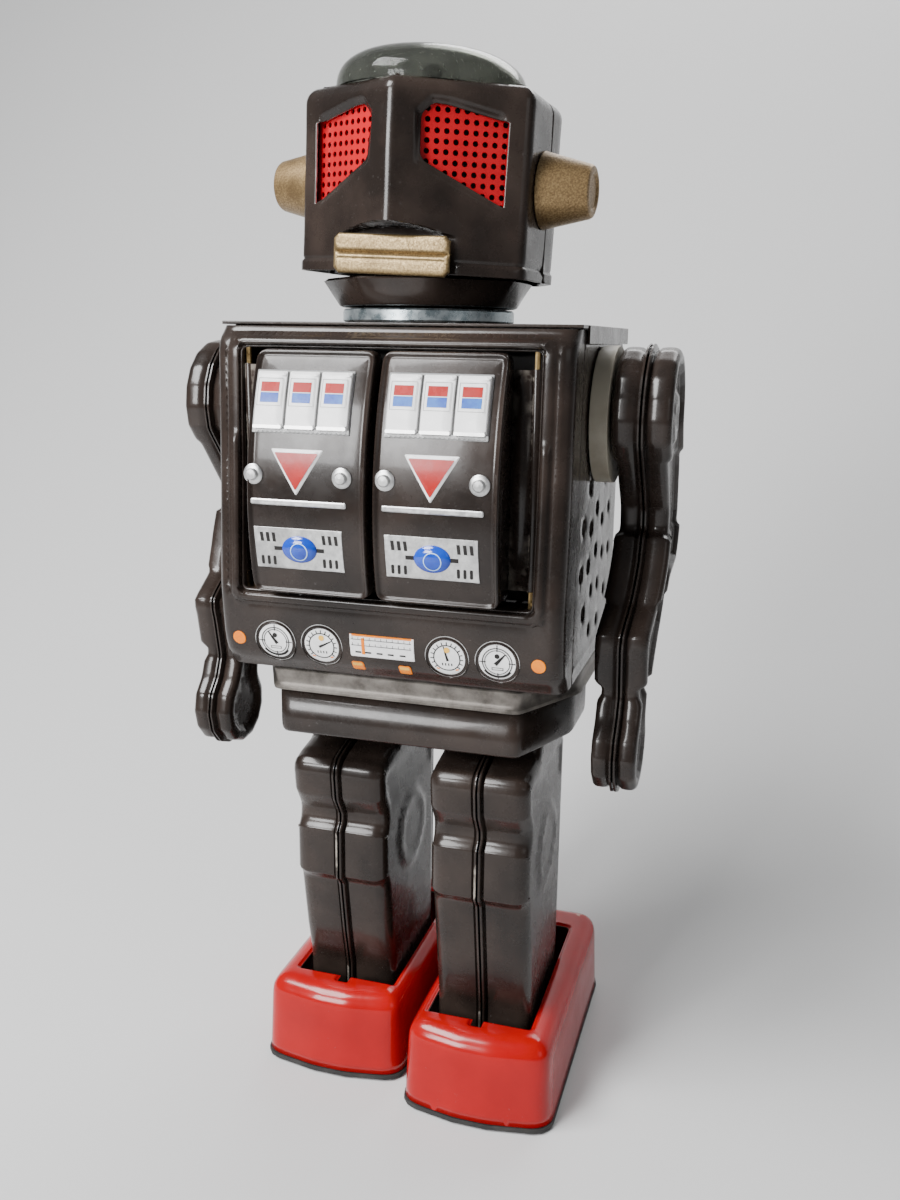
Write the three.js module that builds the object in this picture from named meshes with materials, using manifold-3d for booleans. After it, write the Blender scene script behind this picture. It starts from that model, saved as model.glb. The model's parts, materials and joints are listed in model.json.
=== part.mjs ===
// A battery-powered walking tin robot, about 290 mm tall, standing with its left foot forward.
// Millimetres, +Z up, the robot faces -Y, so its left side is at +X.
import * as THREE from 'three';
import { mergeVertices } from 'three/addons/utils/BufferGeometryUtils.js';
import Module from 'manifold-3d';

const wasm = await Module();
wasm.setup();

// ---------------------------------------------------------------- driving dimensions
const GAP = 0.3;                  // clearance between neighbouring pieces
const TIN = 0.8;                  // sheet thickness of the large casings
const THIN_TIN = 0.6;             // sheet thickness of arms, legs and doors

const SOLE_BOTTOM = 0.6;          // the rollers stand this far below the soles
const SHOE_TOP = 27.1;
const SHOE_WIDTH = 44.2;
const SHOE_LENGTH = 84.4;
const SHOE_FRONT = -33.4;         // toe of a shoe in mid stride
const SHOE_INNER_X = 1.6;
const LEG_DROP = 4.8;             // the right leg stands this much deeper in its shoe
const STRIDE = 4.5;               // the left foot stands this far forward, the right this far back

const LEG_X = 22.3;               // centre of a leg
const LEG_HALF_WIDTH = 14;
const LEG_FRONT = -18.6;          // front of the shin where it enters the shoe
const LEG_REAR = 23;
const LEG_NECK_TOP = 114;

const SKIRT_BOTTOM = 110.3;
const WAIST_BOTTOM = 123.6;
const TORSO_BOTTOM = 130.7;
const TORSO_TOP = 219.2;
const TORSO_HALF_WIDTH = 46;
const TORSO_HALF_DEPTH = 37;
const SPLIT_Y = -30;              // the front panel ends here and the rear shell starts

const OPENING_HALF_WIDTH = 38.8;
const OPENING_BOTTOM = 152.4;
const OPENING_TOP = 214.5;
const LIP_Y = -45;                // the chest stands furthest forward under the doors
const BROW_Y = -41.5;             // and this far forward above them
const DOOR_INNER_X = 0.9;
const DOOR_OUTER_X = 31.8;
const DOOR_BACK_Y = -40.6;
const DOOR_SILL = 1.9;             // gap under a door
const DOOR_TOP_Y = -46.2;         // front of a door at its top edge
const DOOR_LEAN = 5.8;            // the bottom edge stands this much further forward
const DOOR_BULGE = 5.1;           // crown of the face over the straight line between them
const HINGE_X = 37;
const HINGE_Y = -39.8;
const HINGE_ROD_R = 0.7;

const SHOULDER_Y = -4.8;
const SHOULDER_Z = 197.9;
const SHOULDER_R = 18.4;
const WASHER_R = 17.7;
const ARM_INNER_X = 51.4;
const ARM_SEAM_X = 59.2;
const ARM_OUTER_X = 67.2;
const CUFF_CENTRE = [-13, -56];    // from the shoulder
const CUFF_R = 9;
const HAND_CENTRE = [-14.5, -86.3];
const HAND_R = 12;

const NECK_X = -1.5;               // the head and its ring stand a little off the middle
const NECK_Y = -4;
const NECK_R = 23;
const HEAD_Y = -6;
const HEAD_BOTTOM = 232.4;
const HEAD_HEIGHT = 44.2;
const HEAD_HALF_WIDTH = 30.3;
const HEAD_TILT = THREE.MathUtils.degToRad(3);
const HEAD_TURN = THREE.MathUtils.degToRad(-4);
const NOSE_Y = -29.5;             // ridge of the face, from the ear axis
const CHEEK_Y = -13.5;            // front corners of the head, from the ear axis
const TEMPLE_Y = 12.5;            // the sides of the head start to close in here
const HEAD_REAR_Y = 30;
const HEAD_REAR_HALF_WIDTH = 22;
const HEAD_SEAM_Y = 3;            // the face and the rear of the head meet here
const EAR_Z = 22.2;
const DOME_R = 24.5;
const DOME_HEIGHT = 11.6;
const DOME_X = -1.2;

const GUN_X = 15;
const GUN_Z = 176;
const GUN_FRONT_Y = -37.8;

const ROLLER_R = 5;
const ROLLER_Y = [-25.5, 38];
const BATTERY_DOOR = [41, 97];    // heights of the opening in the calf
const CELL_R = 12.9;              // a C-size cell
const CELL_LENGTH = 50;

const GEAR_MODULE = 1;
const GEAR_X = 9.5;               // the gears share one plane, this thick
const GEAR_WIDTH = 3;
const CRANK_AXIS = [-2, 148.5];
const IDLER_AXIS = [10.2, 169.2];
const MOTOR_AXIS = [-2.6, 174.8];
const GUIDE_Z = 140;              // height of the rods that the legs slide on
const GUIDE_ROD_R = 0.8;
const TONGUE_X = 20;

// ---------------------------------------------------------------- materials
const finish = (color, roughness, metalness) =>
  new THREE.MeshStandardMaterial({ color, roughness, metalness });
const black = finish(0x1a1412, 0.28, 0.35);
const blackInside = finish(0x15110f, 0.5, 0.3);
const red = finish(0xb80d16, 0.22, 0.1);
const screenRed = finish(0xc41a28, 0.4, 0.1);
const gold = finish(0x9a7d52, 0.45, 0.7);
const zinc = finish(0x8f989a, 0.35, 0.9);
const wornSteel = finish(0x6f6a66, 0.45, 0.85);
const steel = finish(0x9b9b98, 0.3, 0.9);
const brass = finish(0xb08d45, 0.35, 0.9);
const ivory = finish(0xd8d0b4, 0.45, 0.0);
const rubber = finish(0x171717, 0.8, 0.0);
const gearPlastic = finish(0xd9d6c8, 0.5, 0.0);
const cellWrap = finish(0x2f5f9a, 0.4, 0.1);
const clear = finish(0xc9cccb, 0.1, 0);
clear.transparent = true;
clear.opacity = 0.35;

// ---------------------------------------------------------------- geometry helpers
function solid(geometry) {
  const bare = geometry.index ? geometry.clone() : geometry;
  bare.deleteAttribute('normal');
  bare.deleteAttribute('uv');
  const merged = mergeVertices(bare, 1e-4);
  const vertProperties = new Float32Array(merged.attributes.position.array);
  const triVerts = cleanTriangles(merged.index.array);
  if (signedVolume(vertProperties, triVerts) < 0) triVerts.reverse();
  return new wasm.Manifold(new wasm.Mesh({ numProp: 3, vertProperties, triVerts }));
}

// drops the triangles that merging has closed to a line
function cleanTriangles(index) {
  const kept = [];
  for (let i = 0; i < index.length; i += 3) {
    const [a, b, c] = index.slice(i, i + 3);
    if (a !== b && b !== c && c !== a) kept.push(a, b, c);
  }
  return new Uint32Array(kept);
}

function signedVolume(vertices, triangles) {
  const corner = (i) => new THREE.Vector3().fromArray(vertices, 3 * i);
  let volume = 0;
  for (let i = 0; i < triangles.length; i += 3) {
    const [a, b, c] = [corner(triangles[i]), corner(triangles[i + 1]), corner(triangles[i + 2])];
    volume += a.dot(b.cross(c)) / 6;
  }
  return volume;
}

function toGeometry(body) {
  const mesh = body.getMesh();
  const geometry = new THREE.BufferGeometry();
  geometry.setAttribute('position', new THREE.BufferAttribute(mesh.vertProperties, 3));
  geometry.setIndex(new THREE.BufferAttribute(mesh.triVerts, 1));
  geometry.computeVertexNormals();
  return geometry;
}

function box(x, y, z) {
  const geometry = new THREE.BoxGeometry(x[1] - x[0], y[1] - y[0], z[1] - z[0]);
  geometry.translate((x[0] + x[1]) / 2, (y[0] + y[1]) / 2, (z[0] + z[1]) / 2);
  return solid(geometry);
}

function extruded(points, depth) {
  const shape = new THREE.Shape(points.map(([u, v]) => new THREE.Vector2(u, v)));
  return new THREE.ExtrudeGeometry(shape, { depth, bevelEnabled: false, steps: 1 });
}

// outline in (x, y), extruded from z[0] to z[1]
function plate(points, z) {
  const geometry = extruded(points, z[1] - z[0]);
  geometry.translate(0, 0, z[0]);
  return solid(geometry);
}

// outline in (y, z), extruded from x[0] to x[1]
function profile(points, x) {
  const geometry = extruded(points, x[1] - x[0]);
  geometry.applyMatrix4(new THREE.Matrix4().makeBasis(
    new THREE.Vector3(0, 1, 0), new THREE.Vector3(0, 0, 1), new THREE.Vector3(1, 0, 0)));
  geometry.translate(x[0], 0, 0);
  return solid(geometry);
}

// a rod of radius r along the x, y or z axis, from low to high, through the point [a, b] of the other two
function rod(axis, r, low, high, [a, b], sides = 12) {
  const geometry = new THREE.CylinderGeometry(r, r, high - low, sides);
  const middle = (low + high) / 2;
  if (axis === 'x') {
    geometry.rotateZ(-Math.PI / 2);
    geometry.translate(middle, a, b);
  } else if (axis === 'y') {
    geometry.translate(a, middle, b);
  } else {
    geometry.rotateX(Math.PI / 2);
    geometry.translate(a, b, middle);
  }
  return solid(geometry);
}

// a lathed piece whose axis is vertical; points are [radius, height], closed unless they end on the axis
function turned(points, sides = 24) {
  const closed = points.at(-1)[0] === 0 && points[0][0] === 0 ? points : [...points, points[0]];
  const geometry = new THREE.LatheGeometry(closed.map(([r, h]) => new THREE.Vector2(r, h)), sides);
  geometry.rotateX(Math.PI / 2);
  return solid(geometry);
}

function arc(centre, r, from, to, steps) {
  return Array.from({ length: steps + 1 }, (_, i) => {
    const angle = THREE.MathUtils.degToRad(from + (to - from) * i / steps);
    return [centre[0] + r * Math.cos(angle), centre[1] + r * Math.sin(angle)];
  });
}

// moves each edge of a counter-clockwise outline inwards by d
function inset(points, d) {
  const count = points.length;
  return points.map((p, i) => {
    const before = new THREE.Vector2(...points[(i + count - 1) % count]);
    const here = new THREE.Vector2(...p);
    const after = new THREE.Vector2(...points[(i + 1) % count]);
    const a = here.clone().sub(before).normalize();
    const b = after.clone().sub(here).normalize();
    const normal = new THREE.Vector2(-a.y - b.y, a.x + b.x).normalize();
    const reach = d / Math.max(0.5, normal.dot(new THREE.Vector2(-a.y, a.x)));
    return [here.x + normal.x * reach, here.y + normal.y * reach];
  });
}

const robot = new THREE.Group();

function add(name, body, material, parent = robot) {
  const mesh = new THREE.Mesh(toGeometry(body), material);
  mesh.name = name;
  parent.add(mesh);
  return mesh;
}

// the same piece on the robot's left (+X) and right (-X) side
function addPair(name, body, material, leftParent = robot, rightParent = robot) {
  add(`${name}_left`, body, material, leftParent);
  add(`${name}_right`, body.mirror([1, 0, 0]), material, rightParent);
}

const mirrored = (points) => points.map(([x, y]) => [-x, y]).reverse();

// ---------------------------------------------------------------- head
const head = new THREE.Group();
head.position.set(NECK_X, HEAD_Y, HEAD_BOTTOM);
head.rotation.set(0, HEAD_TILT, HEAD_TURN, 'ZYX');
robot.add(head);

function headCasing() {
  const leftHalf = [[0, NOSE_Y], [HEAD_HALF_WIDTH, CHEEK_Y], [HEAD_HALF_WIDTH, TEMPLE_Y],
    [HEAD_REAR_HALF_WIDTH, HEAD_REAR_Y]];
  const outline = [...leftHalf, ...mirrored(leftHalf).filter(([x]) => x < 0)];
  const hollow = plate(inset(outline, TIN), [-1, HEAD_HEIGHT - TIN]);
  return plate(outline, [0, HEAD_HEIGHT]).subtract(hollow);
}

// a slab parallel to one slanted face of the head: the outline gives distance from the ridge and height
function faceSlab(points, side, start, depth) {
  const along = new THREE.Vector3(side * HEAD_HALF_WIDTH, CHEEK_Y - NOSE_Y, 0).normalize();
  const up = new THREE.Vector3(0, 0, 1);
  const inwards = new THREE.Vector3().crossVectors(up, along).multiplyScalar(side);
  const geometry = extruded(points, depth);
  geometry.applyMatrix4(new THREE.Matrix4().makeBasis(along, up, inwards));
  geometry.translate(inwards.x * start, NOSE_Y + inwards.y * start, 0);
  return solid(geometry);
}

const eyeOutline = [[7.8, 26], [28.6, 16.2], [28.8, 35.5], [14, 38.4], [10.5, 38.6], [7.8, 36]];
const screenOutline = [[5, 12], [30.5, 12], [30.5, 41], [5, 41]];

let face = headCasing().intersect(box([-50, 50], [-50, HEAD_SEAM_Y], [-5, 60]));
for (const side of [-1, 1]) face = face.subtract(faceSlab(eyeOutline, side, -4, 8));
const mouthFlatY = -21.2;
face = face.subtract(box([-16.5, 16.5], [-40, mouthFlatY], [-2, 9.6]));
add('head_face_shell', face, black, head);

const rearCasing = headCasing().intersect(box([-50, 50], [HEAD_SEAM_Y + GAP, 50], [-5, 60]));
add('head_rear_shell', rearCasing, black, head);

const screenDepth = 2.2;
for (const [side, name] of [[1, 'left'], [-1, 'right']]) {
  add(`eye_screen_${name}`, faceSlab(screenOutline, side, screenDepth, THIN_TIN), screenRed, head);
}

const mouthOutline = [[-23.6, -0.6], [-22.2, -0.6], [-22.2, 8.8], [-23.6, 8.8], [-24.4, 8], [-24.4, 5.2],
  [-23.4, 4.4], [-24.4, 3.6], [-24.4, 0.2]];
add('mouth_plate', profile(mouthOutline.reverse(), [-15.5, 15.5]), gold, head);

// the ears are cones that stand on a thin flange
const ear = turned([[0, 0], [9.4, 0], [9.4, 0.9], [8.6, 1.2], [5.9, 12], [4.9, 12.8], [0, 12.8]], 16)
  .rotate([0, 90, 0]).translate([HEAD_HALF_WIDTH + GAP, 0, EAR_Z]);
addPair('ear', ear, gold, head, head);

const chin = turned([[NECK_R - 0.6, -7.9], [26, -GAP - 1], [27, -GAP - 1], [NECK_R + 0.4, -7.9]]);
add('head_chin', chin.translate([NECK_X, NECK_Y, HEAD_BOTTOM]), black);

// ---------------------------------------------------------------- lamp dome
// a low dome with steep sides: a rounded square's quarter, turned
function domeCurve(r, height) {
  const steps = 6;
  const curve = [];
  for (let i = 0; i <= steps; i += 1) {
    const angle = Math.PI / 2 * i / steps;
    curve.push([r * Math.cos(angle) ** 0.62, height * Math.sin(angle) ** 0.7]);
  }
  curve[steps][0] = 0;
  return curve;
}
const domeInside = domeCurve(DOME_R - 1.2, DOME_HEIGHT - 1.2).reverse();
const domeOutline = [...domeCurve(DOME_R, DOME_HEIGHT), ...domeInside];
const domeFoot = HEAD_HEIGHT + GAP;
const SOCKET_HEIGHT = 2.4;
add('dome_lens', turned(domeOutline, 20).translate([DOME_X, 0, domeFoot]), clear, head);
add('lamp_socket', rod('z', 4.5, domeFoot, domeFoot + SOCKET_HEIGHT, [DOME_X, 0]), brass, head);
const bulbOutline = [[0, 0], [1.8, 0], [2.2, 1.4], [2.6, 3], [2, 4.8], [0, 5.4]];
add('lamp_bulb', turned(bulbOutline, 12).translate([DOME_X, 0, domeFoot + SOCKET_HEIGHT + GAP]), clear, head);

// ---------------------------------------------------------------- neck and torso
const topPlateTop = TORSO_TOP + GAP + TIN;
const ringBottom = topPlateTop + GAP;
const ring = turned([[20, 0], [NECK_R, 0], [NECK_R, 3.4], [20, 3.4]]);
add('neck_ring', ring.translate([NECK_X, NECK_Y, ringBottom]), zinc);

const topOutline = [[-46.6, -35.6], [46.6, -35.6], [46.6, 37.6], [-46.6, 37.6]];
const topPlate = plate(topOutline, [TORSO_TOP + GAP, topPlateTop])
  .add(box([46.3, 46.9], [-28, 36], [TORSO_TOP - 3.4, topPlateTop]))
  .add(box([-46.9, -46.3], [-28, 36], [TORSO_TOP - 3.4, topPlateTop]))
  .subtract(rod('z', 17, 200, 240, [NECK_X, NECK_Y]));
add('torso_top_plate', topPlate, black);

function frontPanel() {
  const chest = [[SPLIT_Y, TORSO_BOTTOM], [SPLIT_Y, TORSO_TOP], [-36, TORSO_TOP], [-39.6, 217.8],
    [BROW_Y, OPENING_TOP], [-43, 183], [LIP_Y, OPENING_BOTTOM], [-43.8, 139.5], [-42, 134],
    [-37.8, TORSO_BOTTOM]];
  const hollow = inset(chest, TIN).map(([y, z]) => [y > SPLIT_Y - 2 ? SPLIT_Y + 5 : y, z]);
  const side = TORSO_HALF_WIDTH;
  const rim = 1;                  // the folded rim round the opening
  const opening = box([-OPENING_HALF_WIDTH, OPENING_HALF_WIDTH], [-60, 0], [OPENING_BOTTOM, OPENING_TOP]);
  const linerHalfWidth = OPENING_HALF_WIDTH + rim;
  const liner = box([-linerHalfWidth, linerHalfWidth], [-60, -34], [OPENING_BOTTOM - rim, OPENING_TOP + rim]);
  let panel = profile(chest, [-side, side]);
  const frame = panel.intersect(liner);
  panel = panel.subtract(profile(hollow, [-side + TIN, side - TIN])).add(frame).subtract(opening);
  for (const x of [-HINGE_X, HINGE_X]) {
    panel = panel.subtract(rod('z', HINGE_ROD_R + GAP, 148, 216.6, [x, HINGE_Y], 8));
  }
  return panel;
}
add('torso_front_panel', frontPanel(), black);

function rearShell() {
  const corner = 5;
  const half = [[TORSO_HALF_WIDTH, SPLIT_Y + GAP], [TORSO_HALF_WIDTH, TORSO_HALF_DEPTH - corner],
    [TORSO_HALF_WIDTH - corner, TORSO_HALF_DEPTH]];
  const outline = [...half, ...mirrored(half)];
  const inner = inset(outline, TIN).map(([x, y]) => [x, y < 0 ? SPLIT_Y - 5 : y]);
  let shell = plate(outline, [TORSO_BOTTOM, TORSO_TOP])
    .subtract(plate(inner, [TORSO_BOTTOM - 5, TORSO_TOP + 5]));
  const ventCentre = [-1, 161];
  const rings = [[1, 0], [7, 11.5], [11, 22]];
  for (const [count, radius] of rings) {
    for (let i = 0; i < count; i += 1) {
      const angle = Math.PI / 2 + 2 * Math.PI * i / count;
      const place = [ventCentre[0] + radius * Math.cos(angle), ventCentre[1] + radius * Math.sin(angle)];
      shell = shell.subtract(rod('x', 1.8, -60, 60, place, 6));
    }
  }
  shell = shell.subtract(rod('x', 2.6, -60, 60, [SHOULDER_Y, SHOULDER_Z]));
  return shell.subtract(box([-9, 9], [20, 50], [143, 146]));
}
add('torso_rear_shell', rearShell(), black);
const lever = box([-7, -2], [35, 41], [143.4, 145.6]).add(box([-8, -1], [34, 35.9], [141.5, 147.5]));
add('switch_lever', lever, ivory);

// an eight-sided outline, flat at the front and widest in the middle
const octagon = (frontHalf, frontY, wideHalf, wideY) => {
  const half = [[frontHalf, -frontY], [wideHalf, -wideY], [wideHalf, wideY], [frontHalf, frontY]];
  return [...half, ...mirrored(half)];
};

const waistOutline = octagon(34, TORSO_HALF_DEPTH, 46, 14);
const waistTop = TORSO_BOTTOM - GAP;
let waist = plate(waistOutline, [WAIST_BOTTOM, waistTop])
  .subtract(plate(inset(waistOutline, TIN), [0, waistTop - 1]));
const slotHalf = 22;
for (const x of [TONGUE_X + 0.75, -TONGUE_X - 0.75]) {
  waist = waist.subtract(box([x - 1.4, x + 1.4], [-slotHalf, slotHalf], [100, 140]));
}
add('waist_plate', waist, wornSteel);

const skirtOutline = octagon(33.5, 34.2, 43.4, 10);
const skirt = plate(skirtOutline, [SKIRT_BOTTOM, WAIST_BOTTOM - GAP])
  .subtract(plate(inset(skirtOutline, TIN), [0, 200]));
add('hip_skirt', skirt, black);

// ---------------------------------------------------------------- chest doors and guns
function doorBody() {
  const top = OPENING_TOP - 0.8;
  const bottom = OPENING_BOTTOM + DOOR_SILL;
  const face = [];
  const steps = 8;
  for (let i = 0; i <= steps; i += 1) {
    const t = i / steps;
    const z = top + (bottom - top) * t;
    face.push([DOOR_TOP_Y - DOOR_LEAN * t - DOOR_BULGE * 4 * t * (1 - t), z]);
  }
  const outline = [[DOOR_BACK_Y, top], ...face, [DOOR_BACK_Y, bottom]];
  const hollow = inset(outline, THIN_TIN).map(([y, z]) => [y > DOOR_BACK_Y - 1 ? DOOR_BACK_Y + 3 : y, z]);
  let door = profile(outline, [DOOR_INNER_X, DOOR_OUTER_X])
    .subtract(profile(hollow, [DOOR_INNER_X + THIN_TIN, DOOR_OUTER_X - THIN_TIN]));
  const lugR = 1.5;
  const lugFront = -42.2;         // further forward, the lug would meet the chest before the door is open
  const lug = [[DOOR_OUTER_X - 3, lugFront], [DOOR_OUTER_X, lugFront],
    ...arc([HINGE_X, HINGE_Y], lugR, -75, 90, 6),
    [DOOR_OUTER_X - 3, HINGE_Y + lugR]];
  for (const z of [top - 1, bottom]) door = door.add(plate(lug, [z, z + 1]));
  return door.subtract(rod('z', HINGE_ROD_R + GAP, 140, 220, [HINGE_X, HINGE_Y], 8));
}
addPair('door', doorBody(), black);
addPair('door_hinge_rod', rod('z', HINGE_ROD_R, 149, 216.2, [HINGE_X, HINGE_Y], 8), brass);

let bulkhead = box([-38, 38], [-31.5, -30.7], [OPENING_BOTTOM, OPENING_TOP]);
for (const x of [-GUN_X, GUN_X]) bulkhead = bulkhead.subtract(rod('y', 5, -40, -20, [x, GUN_Z]));
add('gun_bulkhead', bulkhead, blackInside);
let carriage = box([-22, 22], [-22, -20.6], [GUN_Z - 5, GUN_Z + 5]);
for (const x of [-GUN_X, GUN_X]) carriage = carriage.subtract(rod('y', 2.3, -40, 0, [x, GUN_Z]));
add('gun_carriage', carriage, steel);
const gunOutline = [[0, 0], [3.4, 0], [3.4, 3], [2.6, 3.6], [2.6, 9], [4.2, 9.6], [4.2, 15.4], [2, 15.4],
  [2, 18.4], [0, 18.4]];
const gun = turned(gunOutline, 12).rotate([-90, 0, 0]).translate([GUN_X, GUN_FRONT_Y, GUN_Z]);
addPair('gun_barrel', gun, red);

// ---------------------------------------------------------------- arms
const armOutline = [
  ...arc([0, 0], SHOULDER_R, -5, 200, 11),
  [-15, -9], [-9.7, -15], [-1.5, -24.6], [-0.6, -29.6], [-3.4, -30.6], [-7.8, -40.5], [-11.7, -47.4],
  [-19, -51.7],
  ...arc(CUFF_CENTRE, CUFF_R, 165, 205, 2), [-19, -71],
  ...arc(HAND_CENTRE, HAND_R, 125, 400, 10),
  [-4, -69], [3, -63], ...arc([-2, -52], 12.5, -30, 30, 3), [21, -43], [27.5, -28], [24.5, -13],
];

const arms = new THREE.Group();
arms.position.set(0, SHOULDER_Y, SHOULDER_Z);
robot.add(arms);

function armHalf(seam, outside) {
  const direction = Math.sign(outside - seam);
  const between = (a, b) => [Math.min(a, b), Math.max(a, b)];
  const start = seam + direction * GAP / 2;
  const body = profile(inset(armOutline, 1), between(start, outside));
  const flange = profile(armOutline, between(start, start + direction * 0.7));
  const inside = between(seam - direction, outside - direction * THIN_TIN);
  const hollow = profile(inset(armOutline, 1 + THIN_TIN), inside);
  return body.add(flange).subtract(hollow);
}
addPair('arm_outer', armHalf(ARM_SEAM_X, ARM_OUTER_X), black, arms, arms);
const axleHole = rod('x', 2.5, ARM_INNER_X - 2, ARM_INNER_X + 2, [0, 0]);
addPair('arm_inner', armHalf(ARM_SEAM_X, ARM_INNER_X).subtract(axleHole), black, arms, arms);
const axle = rod('x', 2.2, 40, 54, [0, 0])
  .add(rod('x', 4, 53, 54.5, [0, 0]))
  .add(rod('x', 4, 39, 41, [0, 0]));
addPair('shoulder_axle', axle, steel, arms, arms);
const washer = rod('x', WASHER_R, TORSO_HALF_WIDTH + 0.4, 51, [SHOULDER_Y, SHOULDER_Z], 28)
  .subtract(rod('x', 2.6, 40, 55, [SHOULDER_Y, SHOULDER_Z]))
  .subtract(box([45, 47.2], [-28.5, 36.5], [TORSO_TOP - 4, TORSO_TOP + 5]));
addPair('shoulder_washer', washer, ivory);

// ---------------------------------------------------------------- legs and feet
const leftLeg = new THREE.Group();
leftLeg.position.y = -STRIDE;
const rightLeg = new THREE.Group();
rightLeg.position.y = STRIDE;
robot.add(leftLeg, rightLeg);

const LEG_FOOT = 2.3;
const SHIN_LOW = 29;              // below this height both legs' outlines are the same
const legOutline = [
  [LEG_REAR, LEG_FOOT], [LEG_REAR, 100], [19, 104.5], [11, 106],
  [11, LEG_NECK_TOP], [-14, LEG_NECK_TOP], [-14, 107], [-22, 105.5],
  ...arc([-23.5, 99.5], 5.4, 90, 180, 3), [-28, 92], [-24.4, 86], [-24.6, 83.4], [-26.6, 81.4],
  [-26.6, 66.4], [-24.4, 64], [-21.4, 46], [LEG_FRONT, SHIN_LOW], [LEG_FRONT, LEG_FOOT],
];

function legHalf(x, openSide, drop) {
  const hollowX = openSide > 0 ? [x[0] + THIN_TIN, x[1] + 5] : [x[0] - 5, x[1] - THIN_TIN];
  const outline = legOutline.map(([y, z]) => [y, z <= SHIN_LOW || z === LEG_NECK_TOP ? z : z - drop]);
  const inner = inset(outline, THIN_TIN).map(([y, z]) => [y, z < 5 ? -3 : z]);
  const door = BATTERY_DOOR.map((z) => z - drop);
  return profile(outline, x)
    .subtract(profile(inner, hollowX))
    .subtract(box([LEG_X - 12.4, LEG_X + 12.4], [LEG_REAR - 2, LEG_REAR + 2], door));
}
const seam = [LEG_X - GAP / 2, LEG_X + GAP / 2];
const tongue = box([TONGUE_X - 0.5, TONGUE_X + 2], [-8, 8], [LEG_NECK_TOP - 0.5, GUIDE_Z + 4])
  .subtract(rod('y', GUIDE_ROD_R + GAP, -20, 20, [TONGUE_X + 0.75, GUIDE_Z]))
  .subtract(box([TONGUE_X - 2, TONGUE_X + 0.1], [-20, 20], [GUIDE_Z - 0.9, GUIDE_Z + 5]));
addPair('leg_guide_rod', rod('y', GUIDE_ROD_R, -27, 33, [TONGUE_X + 0.75, GUIDE_Z]), steel);

const coverX = [LEG_X - 12.8, LEG_X + 12.8];
let cover = box(coverX, [LEG_REAR + GAP, LEG_REAR + 1.5], [BATTERY_DOOR[0] - 1, BATTERY_DOOR[1] + 1]);
const ribCount = 4;
for (let i = 0; i < ribCount; i += 1) {
  const z = 76 + 5 * i;
  cover = cover.add(box([LEG_X - 10, LEG_X + 10], [LEG_REAR + 1, LEG_REAR + 2.6], [z, z + 2]));
}
const cellCapR = 3.2;
const cellOutline = [[0, 0], [CELL_R, 0], [CELL_R, CELL_LENGTH - 1.6], [cellCapR, CELL_LENGTH - 1.2],
  [cellCapR, CELL_LENGTH], [0, CELL_LENGTH]];
const cell = turned(cellOutline).translate([LEG_X, 7, 44]);

for (const [side, parent, drop] of [['left', leftLeg, 0], ['right', rightLeg, LEG_DROP]]) {
  const place = (body) => (side === 'left' ? body : body.mirror([1, 0, 0]));
  const inner = legHalf([LEG_X - LEG_HALF_WIDTH, seam[0]], 1, drop).add(tongue);
  const outer = legHalf([seam[1], LEG_X + LEG_HALF_WIDTH], -1, drop);
  add(`leg_inner_${side}`, place(inner), black, parent);
  add(`leg_outer_${side}`, place(outer), black, parent);
  add(`battery_cover_${side}`, place(cover.translate([0, 0, -drop])), black, parent);
  add(`battery_${side}`, place(cell.translate([0, 0, -drop])), cellWrap, parent);
}

function footOutline(grow) {
  const x = [SHOE_INNER_X - grow, SHOE_INNER_X + SHOE_WIDTH + grow];
  const front = SHOE_FRONT - grow;
  const rear = SHOE_FRONT + SHOE_LENGTH + grow;
  const r = 6;
  return [
    ...arc([x[0] + r, front + r + 2], r, 180, 260, 3), [LEG_X - 4, front], [LEG_X + 6, front],
    ...arc([x[1] - r, front + r + 2], r, 280, 360, 3),
    ...arc([x[1] - r, rear - r], r, 0, 90, 3), ...arc([x[0] + r, rear - r], r, 90, 180, 3),
  ];
}

function shoeBody() {
  const outline = footOutline(0);
  const crown = inset(outline, 2.5);
  const openX = [7, 39.3];
  const openY = [-19, 36.5];
  return plate(outline, [2.2, SHOE_TOP - 3]).add(plate(crown, [SHOE_TOP - 4, SHOE_TOP]))
    .subtract(plate(inset(outline, TIN), [0, SHOE_TOP - 3.4]))
    .subtract(plate(inset(crown, TIN), [0, SHOE_TOP - TIN]))
    .subtract(box(openX, openY, [0, 40]))
    .subtract(box([LEG_X - 1.5, LEG_X + 1.5], [openY[0] - 3, 0], [0, 40]));
}
addPair('shoe', shoeBody(), red, leftLeg, rightLeg);

function soleBody() {
  let sole = plate(footOutline(0.2), [SOLE_BOTTOM, 1.9]);
  for (const y of ROLLER_Y) {
    sole = sole.subtract(box([LEG_X - 5, LEG_X + 5], [y - 6, y + 6], [0, 3]));
    for (const side of [-1, 1]) {
      const x = LEG_X + side * 6;
      const ear = box([x - 0.6, x + 0.6], [y - 2.5, y + 2.5], [1.5, 8]);
      sole = sole.add(ear).subtract(rod('x', 1 + GAP, x - 2, x + 2, [y, ROLLER_R], 8));
    }
  }
  return sole;
}
addPair('sole', soleBody(), rubber, leftLeg, rightLeg);
ROLLER_Y.forEach((y, i) => {
  const roller = rod('x', ROLLER_R, LEG_X - 4, LEG_X + 4, [y, ROLLER_R], 18)
    .add(rod('x', 1, LEG_X - 7, LEG_X + 7, [y, ROLLER_R], 8));
  addPair(`roller_${i === 0 ? 'front' : 'rear'}`, roller, rubber, leftLeg, rightLeg);
});

// ---------------------------------------------------------------- motor and gears
const gearRadius = (teeth) => GEAR_MODULE * teeth / 2;
const heading = (from, to) => Math.atan2(to[1] - from[1], to[0] - from[0]);

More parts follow.
